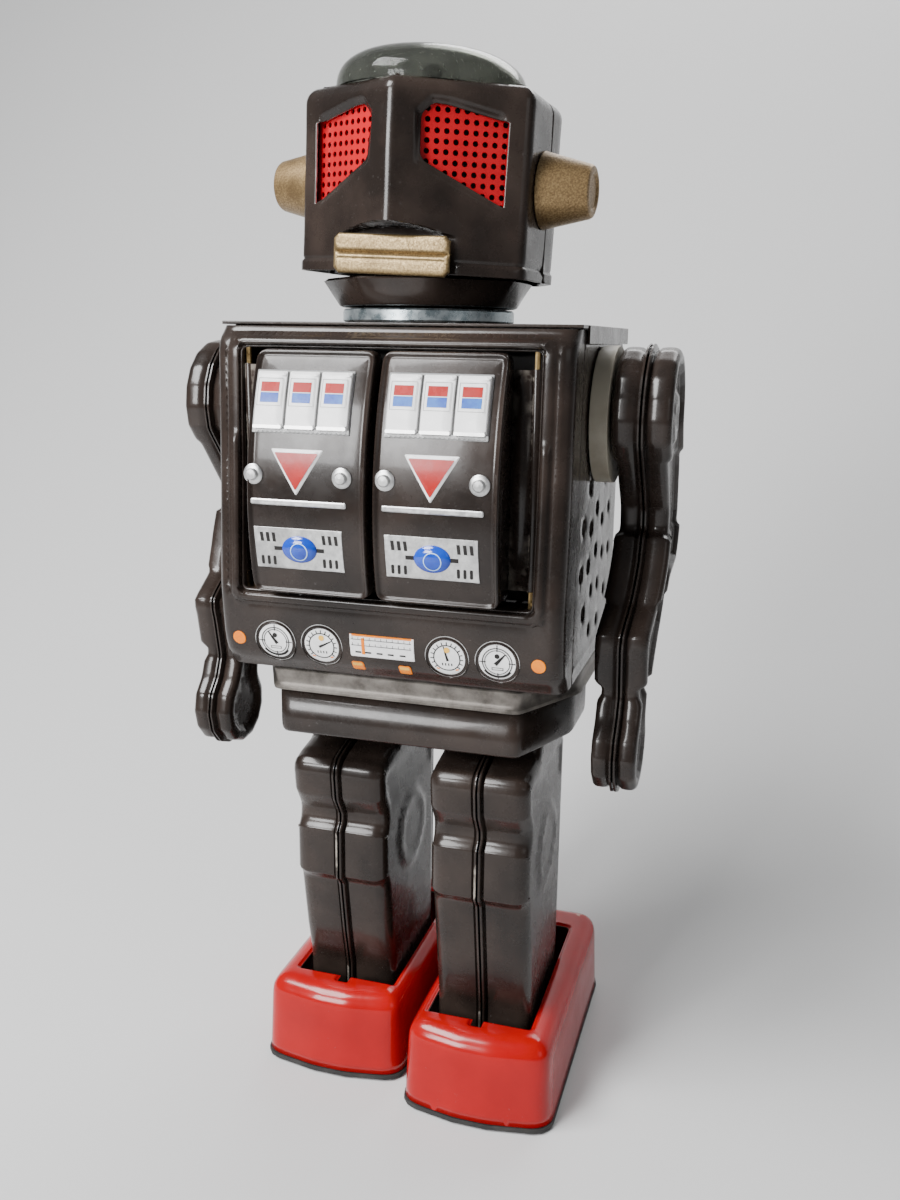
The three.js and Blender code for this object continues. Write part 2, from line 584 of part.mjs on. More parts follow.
// a spur gear on an axis along x; phase is the angle of one tooth, from +Y towards +Z
function gear(teeth, [y, z], phase, hole) {
  const pitch = 2 * Math.PI / teeth;
  const root = gearRadius(teeth) - 1.1 * GEAR_MODULE;
  const tip = gearRadius(teeth) + 0.75 * GEAR_MODULE;
  const corners = [[root, -0.32], [tip, -0.13], [tip, 0.13], [root, 0.32]];
  const outline = [];
  for (let i = 0; i < teeth; i += 1) {
    for (const [r, share] of corners) {
      const angle = phase + (i + share) * pitch;
      outline.push([y + r * Math.cos(angle), z + r * Math.sin(angle)]);
    }
  }
  const body = profile(outline, [GEAR_X, GEAR_X + GEAR_WIDTH]);
  return hole ? body.subtract(rod('x', hole, 0, 20, [y, z], 12)) : body;
}

const CRANK_TEETH = 28;
const IDLER_TEETH = 20;
const PINION_TEETH = 8;
const toCrank = heading(IDLER_AXIS, CRANK_AXIS);
const toPinion = heading(IDLER_AXIS, MOTOR_AXIS);
const share = (toPinion - toCrank) / (2 * Math.PI / IDLER_TEETH);
const pinionPhase = toPinion + Math.PI + (share - Math.floor(share) + 0.5) * 2 * Math.PI / PINION_TEETH;

const crankPhase = toCrank + Math.PI + Math.PI / CRANK_TEETH;
add('drive_gear', gear(CRANK_TEETH, CRANK_AXIS, crankPhase, 1.5 + GAP), gearPlastic);
let crankshaft = rod('x', 1.5, -17, 17, CRANK_AXIS);
for (const side of [-1, 1]) {
  const span = (a, b) => [Math.min(side * a, side * b), Math.max(side * a, side * b)];
  crankshaft = crankshaft.add(rod('x', 8.5, ...span(16, 17.2), CRANK_AXIS, 20))
    .add(rod('x', 1.2, ...span(17, 19.5), [CRANK_AXIS[0] + side * 6, CRANK_AXIS[1]], 10));
}
add('crankshaft', crankshaft, steel);
const idler = gear(IDLER_TEETH, IDLER_AXIS, toCrank, 0).add(rod('x', 1.2, -14.8, 14.8, IDLER_AXIS));
add('idler_gear', idler, gearPlastic);
add('motor_pinion', gear(PINION_TEETH, MOTOR_AXIS, pinionPhase, 0.8 + GAP), brass);
const motor = rod('x', 11, -13.3, 8.6, MOTOR_AXIS, 24).add(rod('x', 0.8, 8, 13.4, MOTOR_AXIS));
add('motor', motor, steel);
const sidePlate = box([13.8, 15], [-16, 24], [TORSO_BOTTOM + 0.6, 187])
  .subtract(rod('x', 1.5 + GAP, 10, 20, CRANK_AXIS)).subtract(rod('x', 1.2 + GAP, 10, 20, IDLER_AXIS));
addPair('gearbox_plate', sidePlate, steel);

// the origin is under the middle of the robot's outline
const bounds = new THREE.Box3().setFromObject(robot);
robot.position.set(0, -(bounds.min.y + bounds.max.y) / 2, -bounds.min.z);

export default robot;
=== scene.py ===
"""Looks of the tin toy robot: pressed and lacquered sheet, printed panels, clear dome and enamelled shoes.

Lengths are in millimetres until a mesh is made. The robot faces -Y and its left side is at +X.
"""
import json
import math

import bpy
import numpy as np
from mathutils import Matrix, Vector
from mathutils.geometry import delaunay_2d_cdt


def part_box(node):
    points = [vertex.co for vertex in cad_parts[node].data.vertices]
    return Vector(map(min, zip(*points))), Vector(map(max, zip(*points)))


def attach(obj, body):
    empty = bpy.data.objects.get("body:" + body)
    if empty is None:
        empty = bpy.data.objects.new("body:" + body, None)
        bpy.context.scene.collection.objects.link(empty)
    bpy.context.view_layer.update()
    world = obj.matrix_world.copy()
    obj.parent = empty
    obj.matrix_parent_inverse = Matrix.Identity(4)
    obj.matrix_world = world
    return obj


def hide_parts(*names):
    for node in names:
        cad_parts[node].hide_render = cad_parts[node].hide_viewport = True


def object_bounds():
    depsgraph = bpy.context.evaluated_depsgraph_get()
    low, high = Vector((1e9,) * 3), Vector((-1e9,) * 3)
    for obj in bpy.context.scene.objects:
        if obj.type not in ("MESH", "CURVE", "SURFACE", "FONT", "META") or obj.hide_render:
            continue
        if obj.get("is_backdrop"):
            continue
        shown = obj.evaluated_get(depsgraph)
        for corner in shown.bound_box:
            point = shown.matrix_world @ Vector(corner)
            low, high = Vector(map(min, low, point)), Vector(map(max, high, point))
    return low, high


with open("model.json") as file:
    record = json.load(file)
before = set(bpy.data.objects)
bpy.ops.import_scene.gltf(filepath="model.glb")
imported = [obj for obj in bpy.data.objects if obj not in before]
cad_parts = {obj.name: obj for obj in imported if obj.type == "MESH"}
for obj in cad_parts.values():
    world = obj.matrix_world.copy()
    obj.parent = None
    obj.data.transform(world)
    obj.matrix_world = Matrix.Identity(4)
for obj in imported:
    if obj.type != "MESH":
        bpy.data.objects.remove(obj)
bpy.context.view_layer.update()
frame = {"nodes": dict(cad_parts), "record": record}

MM = 0.001

# ---------------------------------------------------------------- driving dimensions
CAMERA_AT = (93.3, -292.8, 216.7)
CAMERA_YAW, CAMERA_PITCH, CAMERA_ROLL = 16.28, 13.52, 0.86
CAMERA_LENS, CAMERA_SHIFT_X = 32.59, -0.0103

SHEET = 0.6                     # thickness of the pressed tin
HEAD_CORNER_R = 3.4
HEAD_TOP_R = 4.0
CHEEK_Y = -13.5                 # front corners of the head, from the ear axis
EYE_CORNERS = [(7.8, 26), (28.6, 16.2), (28.8, 35.5), (14, 38.4), (10.5, 38.6), (7.8, 36)]
SCREEN_PITCH, SCREEN_HOLE_R = 2.35, 0.7
SCREEN_DEPTH = 2.4              # from the face to the screen behind it
MOUTH_ARCH, MOUTH_ARCH_HALF = 2.3, 13.5   # the dark arch over the mouth
MOUTH_FLAT_Y = -21.2
CHEST_CORNER_R = 4.0
BEAD = 1.1                      # height of the rolled bead round the chest opening
PRINT_SHIFT = {"left": -0.6, "right": -2.0}     # the door prints are not centred
KNUCKLE_Z = (157, 210)
KNUCKLE_R = 1.25
DOOR_OUTER_X = 31.8             # outer edge of a door, from the robot's middle
VENT_R, VENT_Z = 1.8, 161
VENT_RINGS = ((1, 0), (7, 11.5), (11, 22))      # how many holes, and how far from the middle one
SWITCH_SLOT = ((-9, 9), (143, 146))
CHIN_HALF = 26.6                # from the chin's axis to the flats at its top
SIDES = ((1, "left"), (-1, "right"))


# ---------------------------------------------------------------- outlines
def smooth(low, high, value):
    """0 below low, 1 above high and a soft step between them."""
    t = np.clip((value - low) / (high - low), 0, 1)
    return t * t * (3 - 2 * t)


def bump_at(value, centre, width):
    """A soft ridge of height 1 at centre that is width wide."""
    return np.exp(-((value - centre) / (width / 2)) ** 2)


def rows(*columns):
    """Spots, one in each row, from their columns; a single number fills its column."""
    return np.stack(np.broadcast_arrays(*columns), 1)


def area(loop):
    x, y = np.asarray(loop).T
    return 0.5 * np.sum(x * np.roll(y, -1) - y * np.roll(x, -1))


def arc(centre, r, start, end, steps):
    angles = np.radians(np.linspace(start, end, steps + 1))
    return [(centre[0] + r * math.cos(a), centre[1] + r * math.sin(a)) for a in angles]


def circle(centre, r, steps=20):
    return arc(centre, r, 0, 360, steps)[:-1]


def filleted(corners, radii, steps=6):
    """A closed outline with its corners rounded."""
    count = len(corners)
    points = []
    for i, corner in enumerate(corners):
        r = radii[i] if isinstance(radii, (list, tuple)) else radii
        here = Vector(corner)
        back = (Vector(corners[i - 1]) - here)
        ahead = (Vector(corners[(i + 1) % count]) - here)
        half = back.angle(ahead) / 2
        reach = min(r / math.tan(half), 0.45 * back.length, 0.45 * ahead.length)
        start, end = here + back.normalized() * reach, here + ahead.normalized() * reach
        for k in range(steps + 1):
            t = k / steps
            points.append(tuple(start * (1 - t) ** 2 + here * 2 * t * (1 - t) + end * t * t))
    return points


def rectangle(u, v, r=0.0, steps=5):
    corners = [(u[0], v[0]), (u[1], v[0]), (u[1], v[1]), (u[0], v[1])]
    return filleted(corners, r, steps) if r else corners


def strip(u, half, v, r=0.0, steps=5):
    """A rectangle that reaches half to each side of u."""
    return rectangle((u - half, u + half), v, r, steps)


def dense(loop, step):
    """The same closed outline with points no further apart than step."""
    points = []
    count = len(loop)
    for i in range(count):
        a, b = np.array(loop[i], float), np.array(loop[(i + 1) % count], float)
        pieces = max(1, int(math.ceil(np.linalg.norm(b - a) / step)))
        points += [a + (b - a) * k / pieces for k in range(pieces)]
    return np.array(points)


def relaxed(loop, rounds):
    """Rounds the corners of a dense closed outline."""
    for _ in range(rounds):
        loop = 0.5 * loop + 0.25 * (np.roll(loop, 1, 0) + np.roll(loop, -1, 0))
    return loop


def edge_distance(points, loops):
    best = np.full(len(points), 1e9)
    for loop in loops:
        a = np.asarray(loop, float)
        ab = np.roll(a, -1, 0) - a
        length = np.maximum((ab ** 2).sum(1), 1e-12)
        for first in range(0, len(points), 2000):
            p = points[first:first + 2000, None, :]
            t = np.clip(((p - a) * ab).sum(2) / length, 0, 1)
            gap = p - (a + t[..., None] * ab)
            best[first:first + 2000] = np.minimum(best[first:first + 2000], np.sqrt((gap ** 2).sum(2)).min(1))
    return best


def is_inside(points, loop):
    a = np.asarray(loop, float)
    b = np.roll(a, -1, 0)
    x, y = points[:, 0:1], points[:, 1:2]
    rise = np.where(np.abs(b[:, 1] - a[:, 1]) < 1e-12, 1e-12, b[:, 1] - a[:, 1])
    crosses = ((a[:, 1] > y) != (b[:, 1] > y)) & (x < (b[:, 0] - a[:, 0]) * (y - a[:, 1]) / rise + a[:, 0])
    return crosses.sum(1) % 2 == 1


def offset(loop, d):
    """A dense anticlockwise outline moved inwards by d, with the same number of points."""
    if abs(d) < 1e-6:
        return loop.copy()
    along = np.roll(loop, -1, 0) - np.roll(loop, 1, 0)
    along /= np.maximum(np.linalg.norm(along, axis=1, keepdims=True), 1e-9)
    moved = loop + d * rows(-along[:, 1], along[:, 0])
    good = np.flatnonzero(edge_distance(moved, [loop]) > abs(d) * 0.93)
    if len(good) < 3:
        return moved
    index = np.arange(len(loop))
    ring = np.concatenate([good - len(loop), good, good + len(loop)])
    for axis in (0, 1):
        moved[:, axis] = np.interp(index, ring, np.tile(moved[good, axis], 3))
    return moved


def cad_outline(node, axis, value):
    """The largest outline of a CAD node's flat face that lies at value on that axis, anticlockwise."""
    mesh = frame["nodes"][node].data
    spots = np.array([v.co for v in mesh.vertices]) / MM
    flat = np.abs(spots[:, axis] - value) < 0.02
    kept = [i for i in range(3) if i != axis]
    key = {}
    names = [key.setdefault(tuple(np.round(p[kept], 2)), len(key)) for p in spots]
    place = {n: spots[i][kept] for i, n in enumerate(names)}
    edges = {}
    for polygon in mesh.polygons:
        if all(flat[v] for v in polygon.vertices):
            ids = [names[v] for v in polygon.vertices]
            for a, b in zip(ids, ids[1:] + ids[:1]):
                if edges.pop((b, a), None) is None:
                    edges[(a, b)] = True
    follows = {a: b for a, b in edges}
    loops = []
    while follows:
        start, here = follows.popitem()
        loop = [start]
        while here != start:
            loop.append(here)
            here = follows.pop(here, start)
        loops.append(np.array([place[n] for n in loop]))
    best = max(loops, key=lambda loop: abs(area(loop)))
    return best if area(best) > 0 else best[::-1]


def soft_outline(node, axis, value, step, rounds):
    """A CAD node's outline with close points and eased corners."""
    return relaxed(dense(cad_outline(node, axis, value), step), rounds)


# ---------------------------------------------------------------- mesh making
def piece(name, vertices, faces, material, body, replaced=(), slot="black_tin", sharp=35):
    mesh = bpy.data.meshes.new(name)
    spots = [tuple(np.asarray(v, float) * MM) for v in vertices]
    mesh.from_pydata(spots, [], [tuple(map(int, f)) for f in faces])
    mesh.validate()
    for one in material if isinstance(material, (list, tuple)) else [material]:
        mesh.materials.append(one)
    made = bpy.data.objects.new(name, mesh)
    bpy.context.scene.collection.objects.link(made)
    mesh.shade_smooth()
    if sharp:
        mesh.set_sharp_from_angle(angle=math.radians(sharp))
    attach(made, body)
    if replaced:
        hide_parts(*replaced)
    return made


def thicken(made, thickness, rim=0):
    """Gives a skin its sheet thickness, inwards."""
    solid = made.modifiers.new("sheet", "SOLIDIFY")
    solid.thickness = thickness * MM
    solid.offset = -1
    solid.material_offset_rim = rim
    return made


def triangulated(outline, holes=(), step=2.0, bands=(), us=(), vs=()):
    """Points and triangles that fill an outline, close together along its edges and the lines us and vs."""
    loops = [dense(outline, step)] + [dense(h, min(step, 1.0)) for h in holes]
    low, high = loops[0].min(0), loops[0].max(0)
    grid_u = np.unique(np.concatenate([np.arange(low[0] + step / 2, high[0], step), np.array(us, float)]))
    grid_v = np.unique(np.concatenate([np.arange(low[1] + step / 2, high[1], step), np.array(vs, float)]))
    grid = np.stack(np.meshgrid(grid_u, grid_v), -1).reshape(-1, 2)
    clear = max([step * 0.45, *[b + 0.25 for b in bands]])
    grid = grid[is_inside(grid, loops[0])]
    grid = grid[edge_distance(grid, loops) > clear]
    extra = [grid]
    for k, loop in enumerate(loops):
        turn = 1 if area(loop) > 0 else -1
        for band in bands:
            ring = offset(loop[::turn], band if k == 0 else -band)
            near = edge_distance(ring, loops)
            extra.append(ring[near > band * 0.9])
    points = np.concatenate(loops + extra)
    edges = []
    first = 0
    for loop in loops:
        edges += [(first + i, first + (i + 1) % len(loop)) for i in range(len(loop))]
        first += len(loop)
    out = delaunay_2d_cdt([Vector(p) for p in points], edges, [], 0, 1e-4)
    points = np.array([tuple(p) for p in out[0]])
    faces = np.array([f for f in out[2]])
    middle = points[faces].mean(1)
    keep = is_inside(middle, loops[0])
    for hole in loops[1:]:
        keep &= ~is_inside(middle, hole)
    return points, faces[keep], edge_distance(points, loops)


def sheet(name, outline, place, material, body, holes=(), thickness=SHEET, rim=0, **rest):
    """A pressed sheet: place(u, v, distance from the edge) gives each point of the flat outline its spot."""
    meshing = {k: rest.pop(k) for k in ("step", "bands", "us", "vs") if k in rest}
    points, faces, gap = triangulated(outline, holes, **meshing)
    made = piece(name, place(points[:, 0], points[:, 1], gap), faces, material, body, **rest)
    return thicken(made, thickness, rim) if thickness else made


def lofted(rings):
    """Quads between rings that have the same number of points, as vertices and faces."""
    count = len(rings[0])
    vertices = np.concatenate(rings)
    faces = []
    for k in range(len(rings) - 1):
        for i in range(count):
            j = (i + 1) % count
            faces.append((k * count + i, k * count + j, (k + 1) * count + j, (k + 1) * count + i))
    return vertices, faces


def skin(name, rings, material, thickness, replaced=(), slot="black_tin"):
    """A sheet of the torso that is lofted between rings."""
    return thicken(piece(name, *lofted(rings), material, "torso", replaced, slot), thickness)


def capped(rings, cap, fill):
    """Vertices and faces between rings, and of the cap that closes the last one."""
    vertices, faces = lofted(rings)
    return np.concatenate([vertices, cap]), faces + [tuple(f + len(vertices)) for f in fill]


def pressed(name, vertices, faces, body, replaced, thickness):
    """A black pressed piece whose cap is welded to its rings."""
    made = piece(name, vertices, faces, black, body, replaced, sharp=50)
    weld = made.modifiers.new("weld", "WELD")
    weld.merge_threshold = 0.02 * MM
    return thicken(made, thickness)


def lathed(name, profile, place, material, body, sides=64, **rest):
    """A turned piece: profile is [radius, height] from the bottom up; place(x, y, z) gives the spots."""
    angles = np.linspace(0, 2 * math.pi, sides, endpoint=False)
    rings = []
    for r, h in profile:
        r = max(r, 0.01)
        rings.append(rows(r * np.cos(angles), r * np.sin(angles), h))
    vertices, faces = lofted(rings)
    return piece(name, place(*vertices.T), faces, material, body, **rest)


def softened(node, material, body, width=0.3, segments=3, sharp=35):
    """A CAD piece with its edges rolled over."""
    source = frame["nodes"][node].data
    spots = np.round(np.array([v.co for v in source.vertices]) / MM, 3)
    unique, index = np.unique(spots, axis=0, return_inverse=True)
    index = index.reshape(-1)
    faces = [tuple(index[v] for v in p.vertices) for p in source.polygons]
    faces = [f for f in faces if len(set(f)) == 3]
    slot = [s["material_slot"] for s in frame["record"]["subparts"] if s["node"] == node][0]
    made = piece(f"{node}_shape", unique, faces, material, body, [node], slot, sharp)
    roll = made.modifiers.new("edges", "BEVEL")
    roll.width = width * MM
    roll.segments = segments
    roll.limit_method = "ANGLE"
    roll.angle_limit = math.radians(28)
    roll.harden_normals = True
    return made


# ---------------------------------------------------------------- materials
class Paint:
    """Builds one procedural material, with positions in metres in the object's own frame."""

    def __init__(self, name):
        self.material = bpy.data.materials.new(name)
        self.material.use_nodes = True
        self.nodes = self.material.node_tree.nodes
        self.links = self.material.node_tree.links
        self.shader = self.nodes["Principled BSDF"]
        self.where = self.nodes.new("ShaderNodeTexCoord").outputs["Object"]

    def feed(self, node, sockets):
        """Sets a node's sockets, or links those whose value is another node's output."""
        for name, value in sockets.items():
            socket = node.inputs[name]
            if isinstance(value, bpy.types.NodeSocket):
                self.links.new(value, socket)
            else:
                socket.default_value = (*value, 1) if socket.type == "RGBA" else value

    def add(self, kind, sockets, **settings):
        node = self.nodes.new("ShaderNode" + kind)
        for name, value in settings.items():
            setattr(node, name, value)
        self.feed(node, sockets)
        return node.outputs

    def noise(self, size_mm, detail=4, rough=0.55, stretch=None):
        where = self.where
        if stretch:
            where = self.add("Mapping", {"Vector": where, "Scale": stretch})["Vector"]
        sockets = {"Vector": where, "Scale": 1000 / size_mm, "Detail": detail, "Roughness": rough}
        return self.add("TexNoise", sockets)["Fac"]

    def ranged(self, value, low, high, to_low=0.0, to_high=1.0):
        sockets = {"Value": value, "From Min": low, "From Max": high, "To Min": to_low, "To Max": to_high}
        return self.add("MapRange", sockets)["Result"]

    def patches(self, size_mm, detail, low, high, to_low=0.0, to_high=1.0):
        """Noise that runs from to_low to to_high where it lies between low and high."""
        return self.ranged(self.noise(size_mm, detail), low, high, to_low, to_high)

    def combined(self, a, b, operation="MULTIPLY"):
        return self.add("Math", {0: a, 1: b}, operation=operation)["Value"]

    def mixed(self, share, a, b):
        return self.add("Mix", {0: share, 6: a, 7: b}, data_type="RGBA")[2]

    def edges(self, low, high):
        return self.ranged(self.add("NewGeometry", {})["Pointiness"], low, high)

    def bump(self, layers):
        """layers are (height output, depth in mm)."""
        below = {}
        for height, depth in layers:
            sockets = {"Height": height, "Distance": depth * MM, "Strength": 1.0, **below}
            below = {"Normal": self.add("Bump", sockets)["Normal"]}
        self.feed(self.shader, below)

    def set(self, **sockets):
        self.feed(self.shader, {name.replace("_", " "): value for name, value in sockets.items()})


def lacquer(name, base, cloud, bare, rough=(0.18, 0.36), coat=0.16, dents=0.04, wear=0.62):
    """Gloss lacquer on tin: cloudy colour, rubbed edges, small chips, dust and shallow dents."""
    paint = Paint(name)
    clouds = paint.patches(22, 5, 0.38, 0.66)
    colour = paint.mixed(clouds, base, cloud)
    chips = paint.ranged(paint.noise(2.6, 6, 0.7), 0.735, 0.75)
    chips = paint.combined(chips, paint.patches(30, 2, 0.5, 0.62))
    edge = paint.combined(paint.edges(wear, wear + 0.08), paint.patches(5, 5, 0.46, 0.6))
    bared = paint.combined(chips, edge, "MAXIMUM")
    colour = paint.mixed(bared, colour, bare)
    specks = paint.ranged(paint.noise(0.9, 3, 0.6), 0.66, 0.72, 0, 0.5)
    specks = paint.combined(specks, paint.patches(16, 3, 0.5, 0.6))
    colour = paint.mixed(specks, colour, tuple(0.6 * b + 0.06 for b in cloud))
    dust = paint.noise(9, 8, 0.72)
    paint.set(Base_Color=colour, Roughness=paint.ranged(dust, 0.3, 0.72, *rough), Coat_Weight=coat)
    paint.set(Coat_Roughness=0.07, Specular_IOR_Level=0.25, Metallic=paint.ranged(bared, 0, 1, 0.0, 0.9))
    paint.bump([(paint.noise(26, 2), dents * 6), (paint.noise(1.4, 3), 0.012)])
    return paint.material


def metal(name, dark, light, rough=(0.25, 0.45), grain=(1, 1, 1), size=6, relief=0.01, metallic=0.92):
    paint = Paint(name)
    streaks = paint.noise(size, 6, 0.65, grain)
    colour = paint.mixed(paint.ranged(streaks, 0.35, 0.65), dark, light)
    stains = paint.patches(12, 5, 0.55, 0.7, 0, 0.6)
    colour = paint.mixed(stains, colour, tuple(0.55 * d for d in dark))
    paint.set(Base_Color=colour, Metallic=metallic, Roughness=paint.ranged(streaks, 0.3, 0.7, *rough))
    paint.bump([(streaks, relief)])
    return paint.material


def plastic(name, base, other, rough=(0.3, 0.5), relief=0.01, size=14):
    paint = Paint(name)
    colour = paint.mixed(paint.patches(size, 5, 0.4, 0.65), base, other)
    paint.set(Base_Color=colour, Roughness=paint.patches(5, 6, 0.3, 0.7, *rough))
    paint.bump([(paint.noise(1.2, 4), relief)])
    return paint.material


def ink(name, base, shade, rough=0.28, coat=0.12):
    """Printed colour under the lacquer, with a little mottling."""
    paint = Paint(name)
    colour = paint.mixed(paint.patches(3.5, 5, 0.35, 0.7), base, shade)
    mottle = paint.patches(4, 5, 0.3, 0.7, rough - 0.08, rough + 0.1)
    paint.set(Base_Color=colour, Roughness=mottle)
    paint.set(Coat_Weight=coat, Coat_Roughness=0.1, Specular_IOR_Level=0.25)
    paint.bump([(paint.noise(0.8, 3), 0.006)])
    return paint.material


def gilded(name, dark, light, grain, spread, relief):
    paint = Paint(name)
    grains = paint.ranged(paint.noise(grain, 5, 0.7), *spread)
    colour = paint.mixed(grains, dark, light)
    tarnish = paint.patches(9, 5, 0.55, 0.7, 0, 0.5)
    colour = paint.mixed(tarnish, colour, tuple(0.6 * d for d in dark))
    paint.set(Base_Color=colour, Metallic=0.7, Roughness=paint.ranged(grains, 0, 1, 0.5, 0.34))
    paint.bump([(grains, relief), (paint.noise(5, 3), 0.05)])
    return paint.material


def clear_plastic():
    paint = Paint("clear_dome")
    haze = paint.noise(7, 6, 0.7)
    scratches = paint.ranged(paint.noise(1.8, 4, 0.6, (1, 9, 1)), 0.62, 0.7, 0.0, 0.25)
    colour = paint.mixed(paint.ranged(haze, 0.4, 0.7), (0.26, 0.27, 0.24), (0.15, 0.155, 0.14))
    rough = paint.combined(paint.ranged(haze, 0.3, 0.8, 0.04, 0.16), scratches, "ADD")
    paint.set(Base_Color=colour, Roughness=rough, Transmission_Weight=0.93, IOR=1.2, Specular_IOR_Level=0.8)
    paint.bump([(haze, 0.02)])
    return paint.material


BARE = (0.42, 0.38, 0.33)
black = lacquer("black_lacquer", (0.012, 0.0085, 0.007), (0.03, 0.021, 0.017), BARE)
black_flat = lacquer("black_flat_pieces", (0.012, 0.0085, 0.007), (0.03, 0.021, 0.017), BARE, wear=0.95)
# A darker copy of the black lacquer, rougher too, for the gun bulkhead and the sheets behind the eyes: its
# darkness is painted shade.
black_painted_shade = lacquer("black_inside_painted_shade", (0.006, 0.005, 0.005), (0.012, 0.01, 0.009), BARE, (0.4, 0.6), 0.1)
enamel = lacquer("red_enamel", (0.36, 0.0015, 0.003), (0.29, 0.001, 0.002), (0.6, 0.42, 0.34),
                 (0.16, 0.28), 0.2, 0.03, 0.66)
screen_paint = lacquer("screen_red", (0.42, 0.003, 0.009), (0.33, 0.002, 0.007), (0.4, 0.1, 0.1), (0.3, 0.45),
                       0.2, 0.0, 0.7)
bare_edge = metal("bare_cut_edge", (0.5, 0.49, 0.46), (0.75, 0.74, 0.7))
gold = gilded("gold_lacquer", (0.13, 0.085, 0.038), (0.31, 0.225, 0.11), 0.5, (0.35, 0.65), 0.015)
bronze = gilded("bronze_lacquer", (0.15, 0.092, 0.04), (0.36, 0.25, 0.12), 0.45, (0.4, 0.64), 0.02)
zinc = metal("zinc_ring", (0.3, 0.37, 0.4), (0.62, 0.68, 0.7), (0.18, 0.4), size=3)
worn = metal("worn_tinplate", (0.07, 0.062, 0.054), (0.22, 0.2, 0.18), (0.35, 0.6), size=7, relief=0.02,
             metallic=0.6)
steel = metal("steel", (0.35, 0.35, 0.34), (0.55, 0.55, 0.54), size=3)
brass = metal("brass", (0.34, 0.22, 0.09), (0.6, 0.43, 0.2), size=2)
ivory = plastic("ivory_plastic", (0.34, 0.31, 0.245), (0.22, 0.195, 0.15), (0.4, 0.6), 0.02)
natural = plastic("natural_nylon", (0.72, 0.7, 0.62), (0.6, 0.58, 0.5))
red_plastic = plastic("red_plastic", (0.55, 0.02, 0.02), (0.42, 0.015, 0.015), (0.2, 0.32))
cell_jacket = plastic("cell_jacket", (0.05, 0.16, 0.4), (0.03, 0.1, 0.3), (0.25, 0.4))
rubber = plastic("black_rubber", (0.014, 0.014, 0.014), (0.03, 0.028, 0.026), (0.6, 0.85), 0.03, 4)
dome_plastic = clear_plastic()
white_ink = ink("white_ink", (0.86, 0.86, 0.86), (0.76, 0.76, 0.76))
silver_ink = metal("silver_ink", (0.42, 0.42, 0.42), (0.66, 0.66, 0.65), (0.3, 0.45), size=2)
red_ink = ink("red_ink", (0.36, 0.006, 0.004), (0.27, 0.005, 0.004))
blue_ink = ink("blue_ink", (0.004, 0.05, 0.36), (0.03, 0.16, 0.5))
gem_blue = ink("gem_blue", (0.003, 0.03, 0.33), (0.006, 0.06, 0.45), 0.14, 0.8)
pale_blue = ink("pale_blue", (0.5, 0.68, 0.9), (0.35, 0.55, 0.85), 0.2)
orange_ink = ink("orange_ink", (0.88, 0.24, 0.001), (0.78, 0.17, 0.001))
yellow_ink = ink("yellow_ink", (0.85, 0.5, 0.08), (0.75, 0.4, 0.05))
black_ink = ink("black_ink", (0.008, 0.007, 0.007), (0.014, 0.012, 0.011), 0.5, 0.1)
# grey, printed for the key frames and used as the painted shadow round the keys
grey_ink_and_painted_shadow = ink("grey_ink_and_painted_shadow", (0.3, 0.3, 0.3), (0.22, 0.22, 0.22))


# ---------------------------------------------------------------- bent sheets
def turned(way, angle):
    """A direction turned anticlockwise by an angle or by each of several."""
    c, s = np.cos(angle), np.sin(angle)
    return np.stack([way[0] * c - way[1] * s, way[0] * s + way[1] * c], -1)


class Bend:
    """The course of a sheet in plan, anticlockwise: straight runs joined by round corners."""

    def __init__(self, corners, r):
        self.runs = []
        spots = [np.array(c, float) for c in corners]
        start, length = spots[0], 0.0
        for i in range(1, len(spots)):
            way = spots[i] - spots[i - 1]
            way /= np.linalg.norm(way)
            left = np.array([-way[1], way[0]])
            if i == len(spots) - 1:
                run = np.linalg.norm(spots[i] - start)
                self.runs.append((length, run, "run", start, way, left))
                length += run
                break
            ahead = spots[i + 1] - spots[i]
            ahead /= np.linalg.norm(ahead)
            turn = math.acos(np.clip(way @ ahead, -1, 1))
            back = r * math.tan(turn / 2)
            run = np.linalg.norm(spots[i] - start) - back
            self.runs.append((length, run, "run", start, way, left))
            length += run
            centre = spots[i] - way * back + left * r
            self.runs.append((length, r * turn, "turn", centre, -left, (r, turn)))
            length += r * turn
            start = spots[i] + ahead * back
        self.length = length

    def at(self, s, inset):
        """Spots at distance s from the middle of the course, moved inwards by inset."""
        s = np.asarray(s, float) + self.length / 2
        inset = np.broadcast_to(np.asarray(inset, float), s.shape)
        spots = np.zeros((len(s), 2))
        for k, (first, run, kind, place, along, rest) in enumerate(self.runs):
            chosen = (s >= first - 1e-9) & ((s <= first + run) | (k == len(self.runs) - 1))
            if k == 0:
                chosen |= s < first
            t, d = s[chosen] - first, inset[chosen]
            if kind == "run":
                spots[chosen] = place + t[:, None] * along + d[:, None] * rest
                continue
            r, turn = rest
            out, half = turned(along, t / r), turn / 2
            middle = turned(along, half)
            inner = np.maximum(d - r, 0)[:, None] / math.cos(half)
            spots[chosen] = place + out * np.maximum(r - d, 0)[:, None] - middle * inner
        return spots


def over_top(v, height, r):
    """Height and inset of a sheet that rises to height and then folds inwards over a radius."""
    angle = np.clip((v - (height - r)) / r, 0, math.pi / 2)
    flat = np.maximum(v - (height - r) - r * math.pi / 2, 0)
    rise = np.where(v < height - r, v, height - r + r * np.sin(angle))
    return rise, r * (1 - np.cos(angle)) + flat


# ---------------------------------------------------------------- head
def box_mm(node):
    low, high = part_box(node)
    return np.array(low) / MM, np.array(high) / MM


def middle(node):
    low, high = box_mm(node)
    return (low + high) / 2


EAR_Z = 22.2
ear_axis = middle("ear_left") - middle("ear_right")
ear_axis /= np.linalg.norm(ear_axis)
head_back = np.array([-ear_axis[1], ear_axis[0], 0])
head_back /= np.linalg.norm(head_back)
head_up = np.cross(ear_axis, head_back)
head_origin = (middle("ear_left") + middle("ear_right")) / 2 - head_up * EAR_Z


